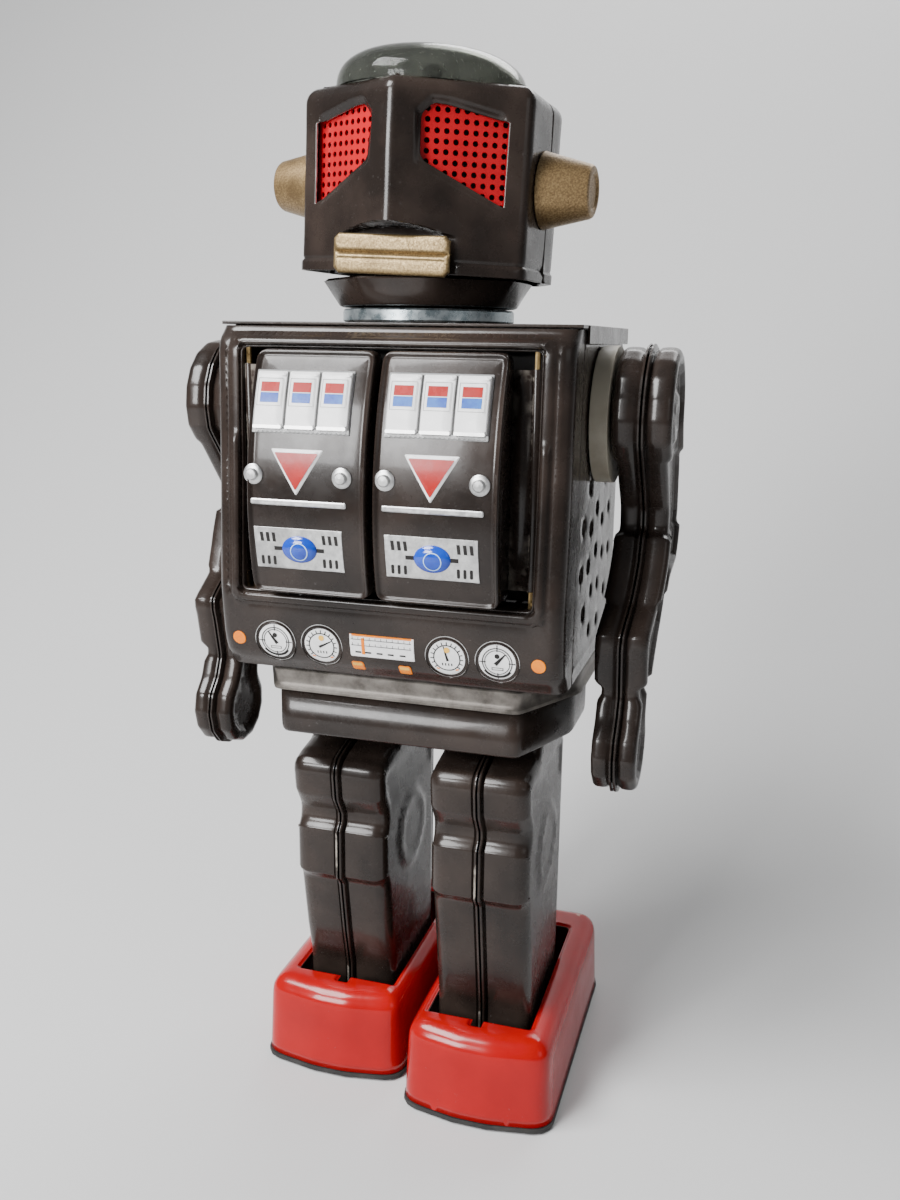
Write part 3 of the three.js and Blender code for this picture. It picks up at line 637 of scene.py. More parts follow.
def in_head(x, y, z):
    return head_origin + np.outer(x, ear_axis) + np.outer(y, head_back) + np.outer(z, head_up)


def head_box(node):
    spots = np.array([v.co for v in frame["nodes"][node].data.vertices]) / MM - head_origin
    local = spots @ rows(ear_axis, head_back, head_up)
    return local.min(0), local.max(0)


face_low, face_high = head_box("head_face_shell")
rear_high = head_box("head_rear_shell")[1]
HEAD_HALF = face_high[0]
HEAD_HEIGHT = face_high[2]
NOSE_Y = face_low[1]
SEAM_Y = face_high[1]
TEMPLE_Y, REAR_HALF = 12.5, 22


def head_crimp(v):
    """How far the line rolled round the head's foot stands out."""
    return 0.35 * (1 - smooth(2.2, 3.0, v)) - 0.25 * bump_at(v, 3.0, 0.9)


def face_place(s, v, gap):
    rise, inset = over_top(v, HEAD_HEIGHT, HEAD_TOP_R)
    wave = 0.07 * np.sin(s * 0.33 + v * 0.11) * np.cos(v * 0.21)
    lip = np.zeros(len(s))
    for side in (-1, 1):
        eye = [(side * u, w) for u, w in EYE_CORNERS]
        near = edge_distance(rows(s, v), [eye])
        depth = 0.55 + 0.75 * smooth(28, 35, v)
        lip = np.maximum(lip, depth * (1 - smooth(0, 1.9, near)) * (1 - smooth(26.5, 28, np.abs(s))))
    spots = face_course.at(s, inset - head_crimp(v) - wave + lip)
    x, y = spots.T
    arch = np.maximum(MOUTH_ARCH * (1 - (x / MOUTH_ARCH_HALF) ** 2), 0)
    recess = (1 - smooth(15.4, 16.4, np.abs(x))) * (1 - smooth(-0.2, 0.5, rise - mouth_top - arch))
    wall = MOUTH_FLAT_Y + 0.3 * np.maximum(rise - mouth_top, 0)
    y = y + np.maximum(wall - y, 0) * recess
    return in_head(x, y, rise)


mouth_top = head_box("mouth_plate")[1][2]
face_course = Bend([(-HEAD_HALF, SEAM_Y), (-HEAD_HALF, CHEEK_Y), (0, NOSE_Y), (HEAD_HALF, CHEEK_Y),
                    (HEAD_HALF, SEAM_Y)], HEAD_CORNER_R)
over = HEAD_TOP_R * (math.pi / 2 - 1) + 6
half_face = face_course.length / 2
eyes = []
for side in (-1, 1):
    corners = [(side * u, w) for u, w in EYE_CORNERS][::side]
    radii = [3.0, 0.25, 0.25, 5, 2.5, 2.5][::side]
    eyes.append(filleted(corners, radii))
CHEEK_RUN = 34.26               # along the face, from the nose's edge to a cheek's corner
edge_lines = [x for c in (0, -CHEEK_RUN, CHEEK_RUN) for x in np.linspace(c - 2.4, c + 2.4, 9)]
top_lines = np.linspace(HEAD_HEIGHT - HEAD_TOP_R, HEAD_HEIGHT + over, 14)
sheet("head_face", rectangle((-half_face, half_face), (0.0, HEAD_HEIGHT + over)), face_place,
      [black, bare_edge], "torso", holes=eyes, rim=1, step=1.5, bands=(0.3, 0.65, 1.05, 1.5, 2.0),
      us=edge_lines,
      vs=[*top_lines, *np.linspace(1.8, 3.6, 7), *np.arange(mouth_top - 0.5, mouth_top + 3.2, 0.3)],
      replaced=["head_face_shell"])

rear_corners = [(HEAD_HALF, SEAM_Y + 0.3), (HEAD_HALF, TEMPLE_Y), (REAR_HALF, rear_high[1]),
                (-REAR_HALF, rear_high[1]), (-HEAD_HALF, TEMPLE_Y), (-HEAD_HALF, SEAM_Y + 0.3)]
rear_course = Bend(rear_corners, HEAD_CORNER_R)


def rear_place(s, v, gap):
    rise, inset = over_top(v, HEAD_HEIGHT, HEAD_TOP_R)
    spots = rear_course.at(s, inset - head_crimp(v) + 0.05 * np.sin(s * 0.4) * np.cos(v * 0.2))
    return in_head(spots[:, 0], spots[:, 1], rise)


half_rear = rear_course.length / 2
sheet("head_rear", rectangle((-half_rear, half_rear), (0.0, HEAD_HEIGHT + over)), rear_place, black, "torso",
      step=2.4, vs=[*top_lines, *np.linspace(1.8, 3.6, 5)],
      replaced=["head_rear_shell"])


def flat_top(x, y, gap):
    return in_head(x, y, HEAD_HEIGHT - 0.15)


top_outline = [(-24, -14), (0, -25), (24, -14), (26, 10), (18, 25), (-18, 25), (-26, 10)]
sheet("head_top", top_outline, flat_top, black, "torso", step=4)

# the screens behind the eyes have real holes
along = np.array([HEAD_HALF, CHEEK_Y - NOSE_Y])
along /= np.linalg.norm(along)
for side, name in SIDES:
    def screen_place(u, v, gap, side=side, depth=SCREEN_DEPTH):
        x = side * (u * along[0]) - side * along[1] * depth
        return in_head(x, NOSE_Y + u * along[1] + along[0] * depth, v)

    def shade_sheet_place(u, v, gap, place=screen_place):
        return place(u, v, gap, depth=SCREEN_DEPTH + 2)
    holes = [circle((u, w), SCREEN_HOLE_R, 10) for u in np.arange(7.2, 30, SCREEN_PITCH)
             for w in np.arange(14, 40, SCREEN_PITCH)]
    screen = sheet(f"eye_screen_{name}_mesh", rectangle((5, 30.5), (12, 41)), screen_place, screen_paint,
                   "torso", holes=holes, thickness=0.5, step=2.6, replaced=[f"eye_screen_{name}"],
                   slot="screen_red")
    screen.modifiers["sheet"].offset = 0
    screen.data.shade_flat()
    # a dark sheet behind the screen holes, where the head holds only shade: painted shade
    sheet(f"eye_shade_sheet_{name}", rectangle((6, 30), (12.5, 40.5)), shade_sheet_place, black_painted_shade, "torso",
          thickness=0, step=4)


def mouth_place(u, v, gap):
    groove = 0.9 * bump_at(v, 4.4, 0.9) + 0.25 * bump_at(v, 2.9, 0.5)
    roll = 0.9 * (1 - np.sqrt(np.clip(1 - (1 - np.clip(gap, 0, 1.1) / 1.1) ** 2, 0, 1)))
    return in_head(u, mouth_low[1] + groove * smooth(0, 1, gap) + roll, v)


mouth_low, mouth_high = head_box("mouth_plate")
MOUTH_CUT = 1.3
(x0, z0), (x1, z1) = mouth_low[[0, 2]], mouth_high[[0, 2]]
mouth = filleted([(x0 + MOUTH_CUT, z0), (x1 - MOUTH_CUT, z0), (x1, z0 + MOUTH_CUT), (x1, z1 - MOUTH_CUT),
                  (x1 - MOUTH_CUT, z1), (x0 + MOUTH_CUT, z1), (x0, z1 - MOUTH_CUT), (x0, z0 + MOUTH_CUT)],
                 0.4, 2)
sheet("mouth_cover", mouth, mouth_place, gold, "torso", thickness=1.2, step=1.0, bands=(0.15, 0.35, 0.6, 0.9),
      vs=np.arange(2.4, 6, 0.2), replaced=["mouth_plate"], slot="gold_tin")

for side, name in SIDES:
    def ear_place(x, y, z, side=side):
        return in_head(side * (HEAD_HALF + z), x, EAR_Z + y * side)
    profile = [(0, 0.1), (9.2, 0.1), (9.4, 0.35), (9.25, 0.7), (6.5, 12.1), (6.1, 12.7), (5.3, 13.0),
               (4.5, 12.9), (4.0, 12.5), (0, 12.4)]
    lathed(f"ear_{name}_cone", profile, ear_place, bronze, "torso", sides=56, replaced=[f"ear_{name}"],
           slot="gold_tin")

# chin: eight-sided at the top and round where it meets the ring
chin_low, chin_high = box_mm("head_chin")
chin_centre = (chin_low + chin_high) / 2
chin_rings = []
angles = np.linspace(0, 2 * math.pi, 160, endpoint=False)
ring_r = (box_mm("neck_ring")[1][0] - box_mm("neck_ring")[0][0]) / 2
for t in (0, 0.04, 0.1, 0.3, 0.5, 0.7, 0.9, 0.96, 1):
    sector = (angles + math.pi / 8) % (math.pi / 4) - math.pi / 8
    eight = CHIN_HALF / np.cos(sector) ** 0.85
    radius = (1 - t) * (ring_r + 0.7) + t * eight - 1.6 * smooth(0.9, 1, t) - 0.5 * (1 - smooth(0, 0.05, t))
    arch = -0.5 * np.exp(-((angles - 1.5 * math.pi) / 0.42) ** 2) * bump_at(t, 0.3, 0.45)
    z = chin_low[2] + t * (chin_high[2] + 0.6 - chin_low[2])
    x, y = (radius - arch) * np.cos(angles), (radius - arch) * np.sin(angles)
    chin_rings.append(rows(chin_centre[0] + x, chin_centre[1] + y, z))
skin("chin_skin", chin_rings, black, 0.7, ["head_chin"])

# dome, lamp and ring
dome_low, dome_high = head_box("dome_lens")
DOME_R, DOME_RISE = (dome_high[0] - dome_low[0]) / 2, dome_high[2] - dome_low[2]
dome_middle = (dome_low + dome_high) / 2


def dome_profile(r, rise):
    """A steep-sided dome that is nearly flat on top."""
    angles = np.linspace(0, math.pi / 2, 18)
    return [(r * abs(math.cos(a)) ** 0.72, rise * math.sin(a) ** 0.75) for a in angles]


def on_head(x, y, z):
    return in_head(x + dome_middle[0], y + dome_middle[1], z + dome_low[2])


DOME_SHOWN = DOME_RISE - 1.1      # the dome's rise, taken down a little to the height seen
outer, inner = dome_profile(DOME_R, DOME_SHOWN), dome_profile(DOME_R - 1.1, DOME_SHOWN - 1.1)
foot = [(DOME_R - 1.4, 0), (DOME_R - 0.1, 0), (DOME_R + 0.0, 0.8)]
lathed("dome_shell", [*inner[::-1], *foot, *outer[1:]], on_head, dome_plastic, "torso", sides=96,
       replaced=["dome_lens"], slot="clear_plastic", sharp=50)
bulb = [(0, 2.8), (1.9, 2.9), (2.0, 3.6), (2.5, 5.0), (2.6, 6.0), (2.0, 7.4), (1.1, 8.0), (0, 8.2)]
lathed("lamp_bulb_glass", bulb, on_head, dome_plastic, "torso", sides=32, replaced=["lamp_bulb"],
       slot="bulb_glass")


def upright_at(x0, y0, z0=0.0):
    """Stands a turned piece on a spot."""
    return lambda x, y, z: rows(x0 + x, y0 + y, z0 + z)


ring_profile = [(20, 0.1), (22.5, 0), (23, 0.5), (23, 2.9), (22.6, 3.4), (20.4, 3.4), (20, 3.0), (20, 0.1)]
on_ring = upright_at(*middle("neck_ring")[:2], box_mm("neck_ring")[0][2])
lathed("neck_ring_band", ring_profile, on_ring, zinc, "torso", sides=120, replaced=["neck_ring"],
       slot="zinc_ring")

# ---------------------------------------------------------------- torso
panel_low, panel_high = box_mm("torso_front_panel")
shell_low, shell_high = box_mm("torso_rear_shell")
chest_profile = cad_outline("torso_front_panel", 0, panel_high[0])
front_part = chest_profile[chest_profile[:, 0] < panel_high[1] - 4]
front_part = front_part[np.argsort(front_part[:, 1])]
heights = np.linspace(panel_low[2], panel_high[2], 240)
chest_line = np.interp(heights, front_part[:, 1], front_part[:, 0])
chest_line = np.convolve(np.pad(chest_line, 6, "edge"), np.ones(13) / 13, "valid")
TORSO_HALF = panel_high[0]
bulk_low, bulk_high = box_mm("gun_bulkhead")
OPEN_HALF, OPEN_LOW, OPEN_HIGH = bulk_high[0] + 0.8, bulk_low[2], bulk_high[2]


def chest_y(z):
    return np.interp(z, heights, chest_line)


def front_place(u, v, gap):
    flat = TORSO_HALF - CHEST_CORNER_R
    bend = CHEST_CORNER_R * math.pi / 2
    angle = np.clip((np.abs(u) - flat) / CHEST_CORNER_R, 0, math.pi / 2)
    front = chest_y(v)
    side_run = np.clip((np.abs(u) - flat - bend) / side_length, 0, 1)
    x = np.where(np.abs(u) < flat, np.abs(u), flat + CHEST_CORNER_R * np.sin(angle))
    y = front + CHEST_CORNER_R * (1 - np.cos(angle))
    y = y + side_run * (panel_high[1] - front - CHEST_CORNER_R)
    outside = np.maximum.reduce([np.abs(u) - OPEN_HALF, v - OPEN_HIGH, OPEN_LOW - v])
    beside = (np.abs(u) - OPEN_HALF) > np.maximum(v - OPEN_HIGH, OPEN_LOW - v)
    height = np.where(beside, 0.25 + 0.75 * (1 - smooth(191, 193.5, v)), 1.0)
    height = np.where(v < OPEN_LOW, 0.8, height)
    bead = BEAD * height * np.sqrt(np.clip(1 - ((outside - 1.25) / 1.3) ** 2, 0, 1))
    crease = 0.35 * bump_at(outside, 3.3, 1.0)
    lift = bead - crease - 0.8 * (1 - smooth(0, 0.35, outside)) + 0.08 * np.sin(u * 0.17) * np.sin(v * 0.13)
    return rows(np.sign(u) * x, y - np.where(angle > 0.1, 0, lift), v)


side_length = 7.5
half_front = TORSO_HALF - CHEST_CORNER_R + CHEST_CORNER_R * math.pi / 2 + side_length
around = [0.1, 0.3, 0.6, 0.9, 1.25, 1.6, 2.0, 2.4, 2.7, 3.1, 3.6]
corner_lines = [s * (TORSO_HALF - CHEST_CORNER_R + k) for s in (-1, 1) for k in np.linspace(0, 6.4, 9)]
opening = rectangle((-OPEN_HALF, OPEN_HALF), (OPEN_LOW, OPEN_HIGH), 2.2)
sheet("chest_front", rectangle((-half_front, half_front), (panel_low[2], panel_high[2])), front_place,
      black, "torso", holes=[opening], step=2.0, bands=around, us=corner_lines,
      vs=[*np.linspace(130.7, 142, 10), *np.linspace(213, 219, 7)],
      replaced=["torso_front_panel"])


# the folded wall round the opening
def wall_ring(depth, out):
    loop = dense(rectangle((-OPEN_HALF - out, OPEN_HALF + out), (OPEN_LOW - out, OPEN_HIGH + out), 2.2), 2)
    return rows(loop[:, 0], chest_y(loop[:, 1]) + depth, loop[:, 1])


rings = [wall_ring(d, o) for d, o in ((0.6, 0.02), (3, 0.02), (6, 0.02), (9.5, 0.02))]
skin("opening_wall", rings[::-1], black, 0.5)

rear_half = Bend([(TORSO_HALF, shell_low[1]), (TORSO_HALF, shell_high[1]), (-TORSO_HALF, shell_high[1]),
                  (-TORSO_HALF, shell_low[1])], 5.0)
side_middle = rear_half.length / 2
vents = []
for side in (-1, 1):
    vent_s = side * (side_middle - (middle("shoulder_washer_left")[1] + 4 - shell_low[1]))
    for count, radius in VENT_RINGS:
        for i in range(count):
            turn = math.pi / 2 + 2 * math.pi * i / count
            spot = (vent_s + radius * math.cos(turn), VENT_Z + radius * math.sin(turn))
            vents.append(circle(spot, VENT_R, 18))
vents.append(rectangle(*SWITCH_SLOT, 1.4))


def shell_place(s, v, gap):
    fold = 0.4 * bump_at(v, shell_low[2] + 4, 1.4) + 0.4 * bump_at(v, shell_high[2] - 4, 1.4)
    back = (1 - smooth(30, 34, np.abs(s)))
    panel = np.maximum(np.abs(s) - 28, np.abs(v - 180) - 22)
    emboss = 0.8 * back * (1 - smooth(-1.0, 1.0, panel))
    dimple = 0.3 * (1 - smooth(0, 0.8, gap)) * (np.abs(s) < side_middle - 4) * (v > 133) * (v < 217)
    spots = rear_half.at(s, -fold * 0.5 + emboss * 0.7 + dimple)
    return rows(spots[:, 0], spots[:, 1], v)


sheet("torso_shell", rectangle((-side_middle, side_middle), (shell_low[2], shell_high[2])), shell_place,
      black, "torso", holes=vents, step=2.6, bands=(0.4, 0.8), us=[-29, -28, -27, 27, 28, 29],
      vs=[157, 158, 159, 201, 202, 203, *np.linspace(132, 137, 6), *np.linspace(213, 218, 6)],
      replaced=["torso_rear_shell"])


def both(name):
    """A name, or the left and right ones that it stands for when it holds a star."""
    return [name.replace("*", side) for _, side in SIDES] if "*" in name else [name]


for nodes, material, bodies, width in (
        ("torso_top_plate", black_flat, "torso", 0.35), ("shoulder_washer_*", ivory, "torso", 0.5),
        ("battery_cover_*", black_flat, "cover_*", 0.4), ("switch_lever", ivory, "switch", 0.4),
        ("gun_barrel_*", red_plastic, "guns", 0.3), ("sole_*", rubber, "leg_*", 0.3)):
    for node, body in zip(both(nodes), 2 * both(bodies)):
        softened(node, material, body, width)


# ---------------------------------------------------------------- waist and skirt
def ring_stack(outline, profile):
    rings = []
    for d, z in profile:
        loop = offset(outline, d)
        rings.append(rows(loop[:, 0], loop[:, 1], z))
    return rings


waist_low, waist_high = box_mm("waist_plate")
waist = soft_outline("waist_plate", 2, waist_high[2], 1.5, 2)
lip = [(6, 0.3), (2, 0.1), (0.5, 0.0), (0.1, 0.2), (0.0, 0.6), (0.1, 1.1), (0.6, 1.5), (0.9, 2.2), (0.7, 3.2),
       (0.4, 4.4), (0.4, 5.6), (0.9, 6.3), (2.0, 6.7), (8, 6.8)]
lip_rings = ring_stack(waist, [(d, waist_low[2] + h) for d, h in lip])
skin("waist_lip", lip_rings, worn, 0.3, ["waist_plate"], "worn_steel")

skirt_low = box_mm("hip_skirt")[0]
skirt = soft_outline("hip_skirt", 2, skirt_low[2], 1.5, 2)
tub = [(2.6, 0.15), (1.6, 0.0), (0.7, 0.3), (0.25, 0.9), (0.05, 1.8), (0.0, 3.0), (0.0, 13.0)]
tub_rings = ring_stack(skirt, [(d, skirt_low[2] + h) for d, h in tub])
skin("skirt_tub", tub_rings, black, 0.5, ["hip_skirt"])

# ---------------------------------------------------------------- doors
door_low, door_high = box_mm("door_left")
door_profile = cad_outline("door_left", 0, door_low[0])
front_of_door = door_profile[door_profile[:, 0] < door_low[1] + 10]
door_curve = np.polyfit(front_of_door[:, 1], front_of_door[:, 0], 2)
DOOR_HALF = (DOOR_OUTER_X - door_low[0]) / 2
DOOR_MIDDLE = door_low[0] + DOOR_HALF
DOOR_BACK = door_profile[:, 0].max()
DOOR_SET_BACK = 0.85            # keeps the knobs and gems inside the CAD's depth


def door_y(z):
    return np.polyval(door_curve, z) + DOOR_SET_BACK


def door_skin(side, name):
    centre = side * DOOR_MIDDLE
    outline = relaxed(dense(rectangle((-DOOR_HALF, DOOR_HALF), (door_low[2], door_high[2]), 2.6, 6), 0.8), 1)
    outline = outline if area(outline) > 0 else outline[::-1]
    rings = []
    for d, depth in ((0.3, None), (0.0, 3.0), (0.0, 1.4), (0.0, 0.7), (0.1, 0.25), (0.35, 0.0), (0.7, 0.1),
                     (1.0, 0.5), (1.4, 0.75), (1.9, 0.7), (2.6, 0.62)):
        loop = offset(outline, d)
        y = DOOR_BACK if depth is None else door_y(loop[:, 1]) + depth
        rings.append(rows(loop[:, 0] + centre, y, loop[:, 1]))
    points, fill, gap = triangulated(offset(outline, 2.6), step=1.8)
    crown = door_y(points[:, 1]) + 0.62 - 0.25 * smooth(0, 6, gap)
    cap = rows(points[:, 0] + centre, crown, points[:, 1])
    return pressed(f"door_{name}_skin", *capped(rings, cap, fill), f"door_{name}", [f"door_{name}"], 0.5)


def door_knuckle(side, name):
    """The rolled flange that carries the door on its rod."""
    rod = middle(f"door_hinge_rod_{name}")
    bottom, top = KNUCKLE_Z
    barrel = [(1.0, bottom + 0.1), (KNUCKLE_R - 0.1, bottom), (KNUCKLE_R, bottom + 0.2),
              (KNUCKLE_R, top - 0.2), (KNUCKLE_R - 0.1, top), (1.0, top - 0.1)]
    lathed(f"door_{name}_knuckle", barrel, upright_at(*rod[:2]), black, f"door_{name}", sides=28)
    flange_y = rod[1] - KNUCKLE_R + 0.35
    at_rod, at_door = rod[0] - side * 0.9, side * (DOOR_MIDDLE + DOOR_HALF - 0.6)
    columns = [[(x, flange_y, z) for z in np.linspace(bottom + 0.2, top - 0.2, 3)]
               for x in (at_door, (at_door + at_rod) / 2, at_rod)]
    faces = [(3 * k + i, 3 * k + i + 1, 3 * k + i + 4, 3 * k + i + 3) for k in range(2) for i in range(2)]
    strap = piece(f"door_{name}_flange", np.concatenate(columns), faces, black, f"door_{name}")
    thicken(strap, 0.4).modifiers["sheet"].offset = 0


def prints(name, shapes, lift, surface, material, body, raised=0.25, step=1.2):
    """Flat or slightly raised printed shapes on a curved face; surface gives y for a height."""
    vertices, faces = [], []
    count = 0
    for shape in shapes:
        outline, holes = shape if isinstance(shape, tuple) else (shape, [])
        points, fill, gap = triangulated(outline, holes, step=step, bands=(min(raised, 0.25),))
        rise = lift * smooth(0, raised, gap) if raised else lift
        vertices.append(rows(points[:, 0], surface(points[:, 1]) - rise, points[:, 1]))
        faces += [tuple(f + count) for f in fill]
        count += len(points)
    return piece(name, np.concatenate(vertices), faces, material, body)


def slanted(u, v, lean):
    return [(u[0] + lean, v[0]), (u[1] + lean, v[0]), (u[1], v[1]), (u[0], v[1])]


def door_face(z):
    return door_y(z) + 0.37


KEYS = [-8.35, 0.0, 8.35]
GEM, GEM_HALF, GEM_RISE = (0.1, 166.0), (4.6, 3.4), 1.5     # a gem's middle, half its size and its rise
for side, name in SIDES:
    body = f"door_{name}"
    centre = side * DOOR_MIDDLE
    door_skin(side, name)
    door_knuckle(side, name)
    centre += PRINT_SHIFT[name]

    def moved(shape, centre=centre):
        if isinstance(shape, tuple):
            return moved(shape[0]), [moved(hole) for hole in shape[1]]
        return [(u + centre, v) for u, v in shape]

    border = filleted([(-0.4, 179.2), (6.5, 190.3), (-7.3, 190.3)], 0.35, 3)
    field = filleted([(-0.4, 180.6), (5.3, 189.5), (-6.1, 189.5)], 0.25, 3)
    frames = [(strip(k, 3.2, (200.4, 206.9)), [strip(k, 3.08, (200.52, 206.78))]) for k in KEYS]
    for what, shapes, lift, colour, raised in (
            ("key_caps", [strip(k, 4.0, (194.9, 208.6), 0.2, 2) for k in KEYS], 0.9, white_ink, 0.5),
            # the grey panel reaches past the keys to the right and below them: a painted shadow
            ("key_painted_shadow", [rectangle((-12.6, 12.9), (193.9, 208.8), 0.3, 2)], 0.25, grey_ink_and_painted_shadow, 0.2),
            ("key_red", [strip(k, 2.4, (203.7, 206.0)) for k in KEYS], 0.96, red_ink, 0),
            ("key_splits", [rectangle((k + 4.0, k + 4.35), (195.2, 208.4)) for k in KEYS], 0.5, black_ink, 0),
            ("key_lips", [strip(k, 3.7, (195.1, 195.9), 0.3, 2) for k in KEYS], 0.97, silver_ink, 0),
            ("key_blue", [strip(k, 2.4, (201.2, 203.5)) for k in KEYS], 0.96, blue_ink, 0),
            ("key_lines", frames, 0.95, grey_ink_and_painted_shadow, 0), ("triangle_edge", [border], 0.5, white_ink, 0.5),
            ("triangle", [field], 0.56, red_ink, 0)):
        prints(f"{what}_{name}", [moved(shape) for shape in shapes], lift, door_face, colour, body, raised)

    for k, u in enumerate((-11.8, 11.4)):
        def knob_place(x, y, z, u=u):
            return rows(centre + u + x, door_face(184.0) - z, 184.0 + y)
        knob = [(2.55, -0.3), (2.5, 0.15), (2.2, 0.4), (1.7, 0.45), (1.5, 0.5), (1.45, 1.2), (1.2, 1.5),
                (0, 1.6)]
        lathed(f"knob_{name}_{k}", knob, knob_place, silver_ink, body, sides=36)
    bar = [moved(strip(0, 12.6, (176.7, 178.1), 0.6))]
    prints(f"bar_{name}", bar, 0.7, door_face, silver_ink, body, 0.7, 0.8)

    plate_outline = [(-11.6, 160.9), (11.6, 160.9), (11.3, 171.2), (-11.9, 171.2)]
    prints(f"gem_plate_{name}", [moved(plate_outline)], 0.12, door_face, silver_ink, body, 0.1)
    marks = []
    for end in (-1, 1):
        for k in range(3):
            u = end * (6.6 + 1.6 * k) - 0.1
            marks.append(slanted((u - 0.42, u + 0.42), (167.6, 169.9), 0.25))
            marks.append(strip(u, 0.38, (161.7, 164.0), 0.35, 3))
        marks.append(strip(end * 5.5, 1.1, (165.5, 166.5)))
    prints(f"gem_marks_{name}", [moved(mark) for mark in marks], 0.18, door_face, black_ink, body, 0, 0.7)

    def on_gem(u, v, gap, centre=centre, lift=0.12):
        dx, dz = (u - centre - GEM[0]) / GEM_HALF[0], (v - GEM[1]) / GEM_HALF[1]
        return rows(u, door_face(v) - lift - GEM_RISE * np.sqrt(np.clip(1 - dx ** 2 - dz ** 2, 0, 1)), v)

    def over_gem(u, v, gap, on_gem=on_gem):
        return on_gem(u, v, gap, lift=0.2)

    turns = np.linspace(0, 2 * math.pi, 49)[:-1]
    spots = [(GEM[0] + GEM_HALF[0] * math.cos(t), GEM[1] + GEM_HALF[1] * math.sin(t)) for t in turns]
    sheet(f"gem_{name}", moved(spots), on_gem, gem_blue, body, thickness=0, step=0.6, bands=(0.1, 0.25),
          sharp=0)
    outer, inner = (moved(circle((0.5, 165.6), r, 36)) for r in (2.25, 2.02))
    sheet(f"gem_ring_{name}", outer, over_gem, pale_blue, body, holes=[inner], thickness=0, step=0.5)

# ---------------------------------------------------------------- dashboard prints
def dash_y(z):
    return chest_y(z) - 0.05


def ticks(centre, r, length, count, start, end, width=0.26):
    marks = []
    for angle in np.radians(np.linspace(start, end, count)):
        out = np.array([math.cos(angle), math.sin(angle)])
        across = np.array([-out[1], out[0]]) * width / 2
        a, b = np.array(centre) + out * (r - length), np.array(centre) + out * r
        marks.append([tuple(a - across), tuple(b - across), tuple(b + across), tuple(a + across)])
    return marks


def ring_shape(centre, r, width):
    return circle(centre, r, 40), [circle(centre, r - width, 40)]


def needle(centre, angle, length, width=0.5):
    out = np.array([math.cos(math.radians(angle)), math.sin(math.radians(angle))])
    across = np.array([-out[1], out[0]]) * width
    base = np.array(centre) - out * 0.8
    tip = np.array(centre) + out * length
    point = across * 0.35
    return [tuple(base - across), tuple(tip - point), tuple(tip + point), tuple(base + across)]


DASH_Z = 139.3
GAUGE_R = 4.75
outer_x, inner_x, dot_x = 29.9, 16.9, 40.3
faces_white, lines, accents, yellows = [], [], [], []
for side in (-1, 1):
    one, two = (side * outer_x, DASH_Z), (side * inner_x, DASH_Z - 0.1)
    faces_white += [circle(one, GAUGE_R, 40), circle(two, GAUGE_R, 40)]
    lines += [ring_shape(one, 3.9, 0.26), ring_shape(one, 3.3, 0.2)]
    lines += ticks(one, GAUGE_R - 0.15, 1.7, 4, 0, 270)
    lines.append(needle(one, 48 if side > 0 else 125, 3.1))
    lines.append(circle((one[0], one[1] + 1.7), 0.65, 16))
    lines.append((strip(one[0], 1.5, (one[1] - 2.1, one[1] - 1.35)),
                  [strip(one[0], 1.3, (one[1] - 1.95, one[1] - 1.5))]))
    lines.append(arc(one, 4.3, 215, 325, 16) + arc(one, 3.85, 325, 215, 16))
    lines.append(ring_shape(two, 3.55, 0.28))
    lines += ticks(two, 4.3, 0.8, 15, -40, 220)
    lines.append(needle(two, 105 if side > 0 else 28, 3.2, 0.35))
    lines += [rectangle((two[0] - 1.35 + 0.8 * k, two[0] - 1.05 + 0.8 * k), (two[1] - 2.1, two[1] - 1.4))
              for k in range(4)]
    yellows.append(circle((two[0] + 0.1, two[1] + 2.2), 0.75, 18))
    for end in (-1, 1):
        spot = np.array([two[0] + end * 2.5, two[1] - 3.15])
        tilt = 0.2 * end
        corners = [(-0.75, -0.2 - tilt), (0.75, -0.2 + tilt), (0.75, 0.3 + tilt), (-0.75, 0.3 - tilt)]
        accents.append([tuple(spot + np.array(c)) for c in corners])
    accents.append(circle((side * dot_x, DASH_Z), 1.85, 28))
prints("gauge_faces", faces_white, 0.1, dash_y, white_ink, "torso", 0.1)
scale = [rectangle((-9.0, 8.3), (137.2, 143.4), 0.3, 2)]
prints("scale_face", scale, 0.1, dash_y, white_ink, "torso", 0.1)
for k, z in enumerate((142.0, 140.4)):
    lines.append(rectangle((-8.6, 7.6), (z - 0.08, z + 0.08)))
    lines += [rectangle((u - 0.06, u + 0.06), (z, z + 0.7)) for u in np.arange(-8.2, 7.6, 1.55)]
lines += [rectangle((u, u + 1.6), (138.3, 138.75)) for u in (-7.6, -4.9, -1.8, 1.2, 4.4)]
prints("dash_lines", lines, 0.17, dash_y, black_ink, "torso", 0, 0.8)
accents.append(rectangle((-9.0, 8.3), (142.8, 143.4)))
accents.append(rectangle((-5.9, -4.9), (137.3, 143.0)))
accents += [strip(u, 1.7, (132.9, 135.6), 0.7, 4) for u in (-7.5, 5.3)]
prints("dash_orange", accents, 0.2, dash_y, orange_ink, "torso", 0.1)
yellows += [strip(u, 1.3, (134.4, 135.3), 0.3, 3) for u in (-7.5, 5.3)]
prints("dash_yellow", yellows, 0.26, dash_y, yellow_ink, "torso", 0)
pressed_rings = [ring_shape((x, DASH_Z - 0.5), 5.75, 0.5) for x in (-outer_x, -inner_x, inner_x, outer_x)]
prints("gauge_rims", pressed_rings, 0.35, chest_y, black, "torso", 0.22, 0.6)
light_rings = [ring_shape((x, DASH_Z), GAUGE_R + 1.0, 0.16) for x in (-outer_x, -inner_x, inner_x, outer_x)]
prints("gauge_light_rings", light_rings, 0.12, dash_y, silver_ink, "torso", 0, 0.6)


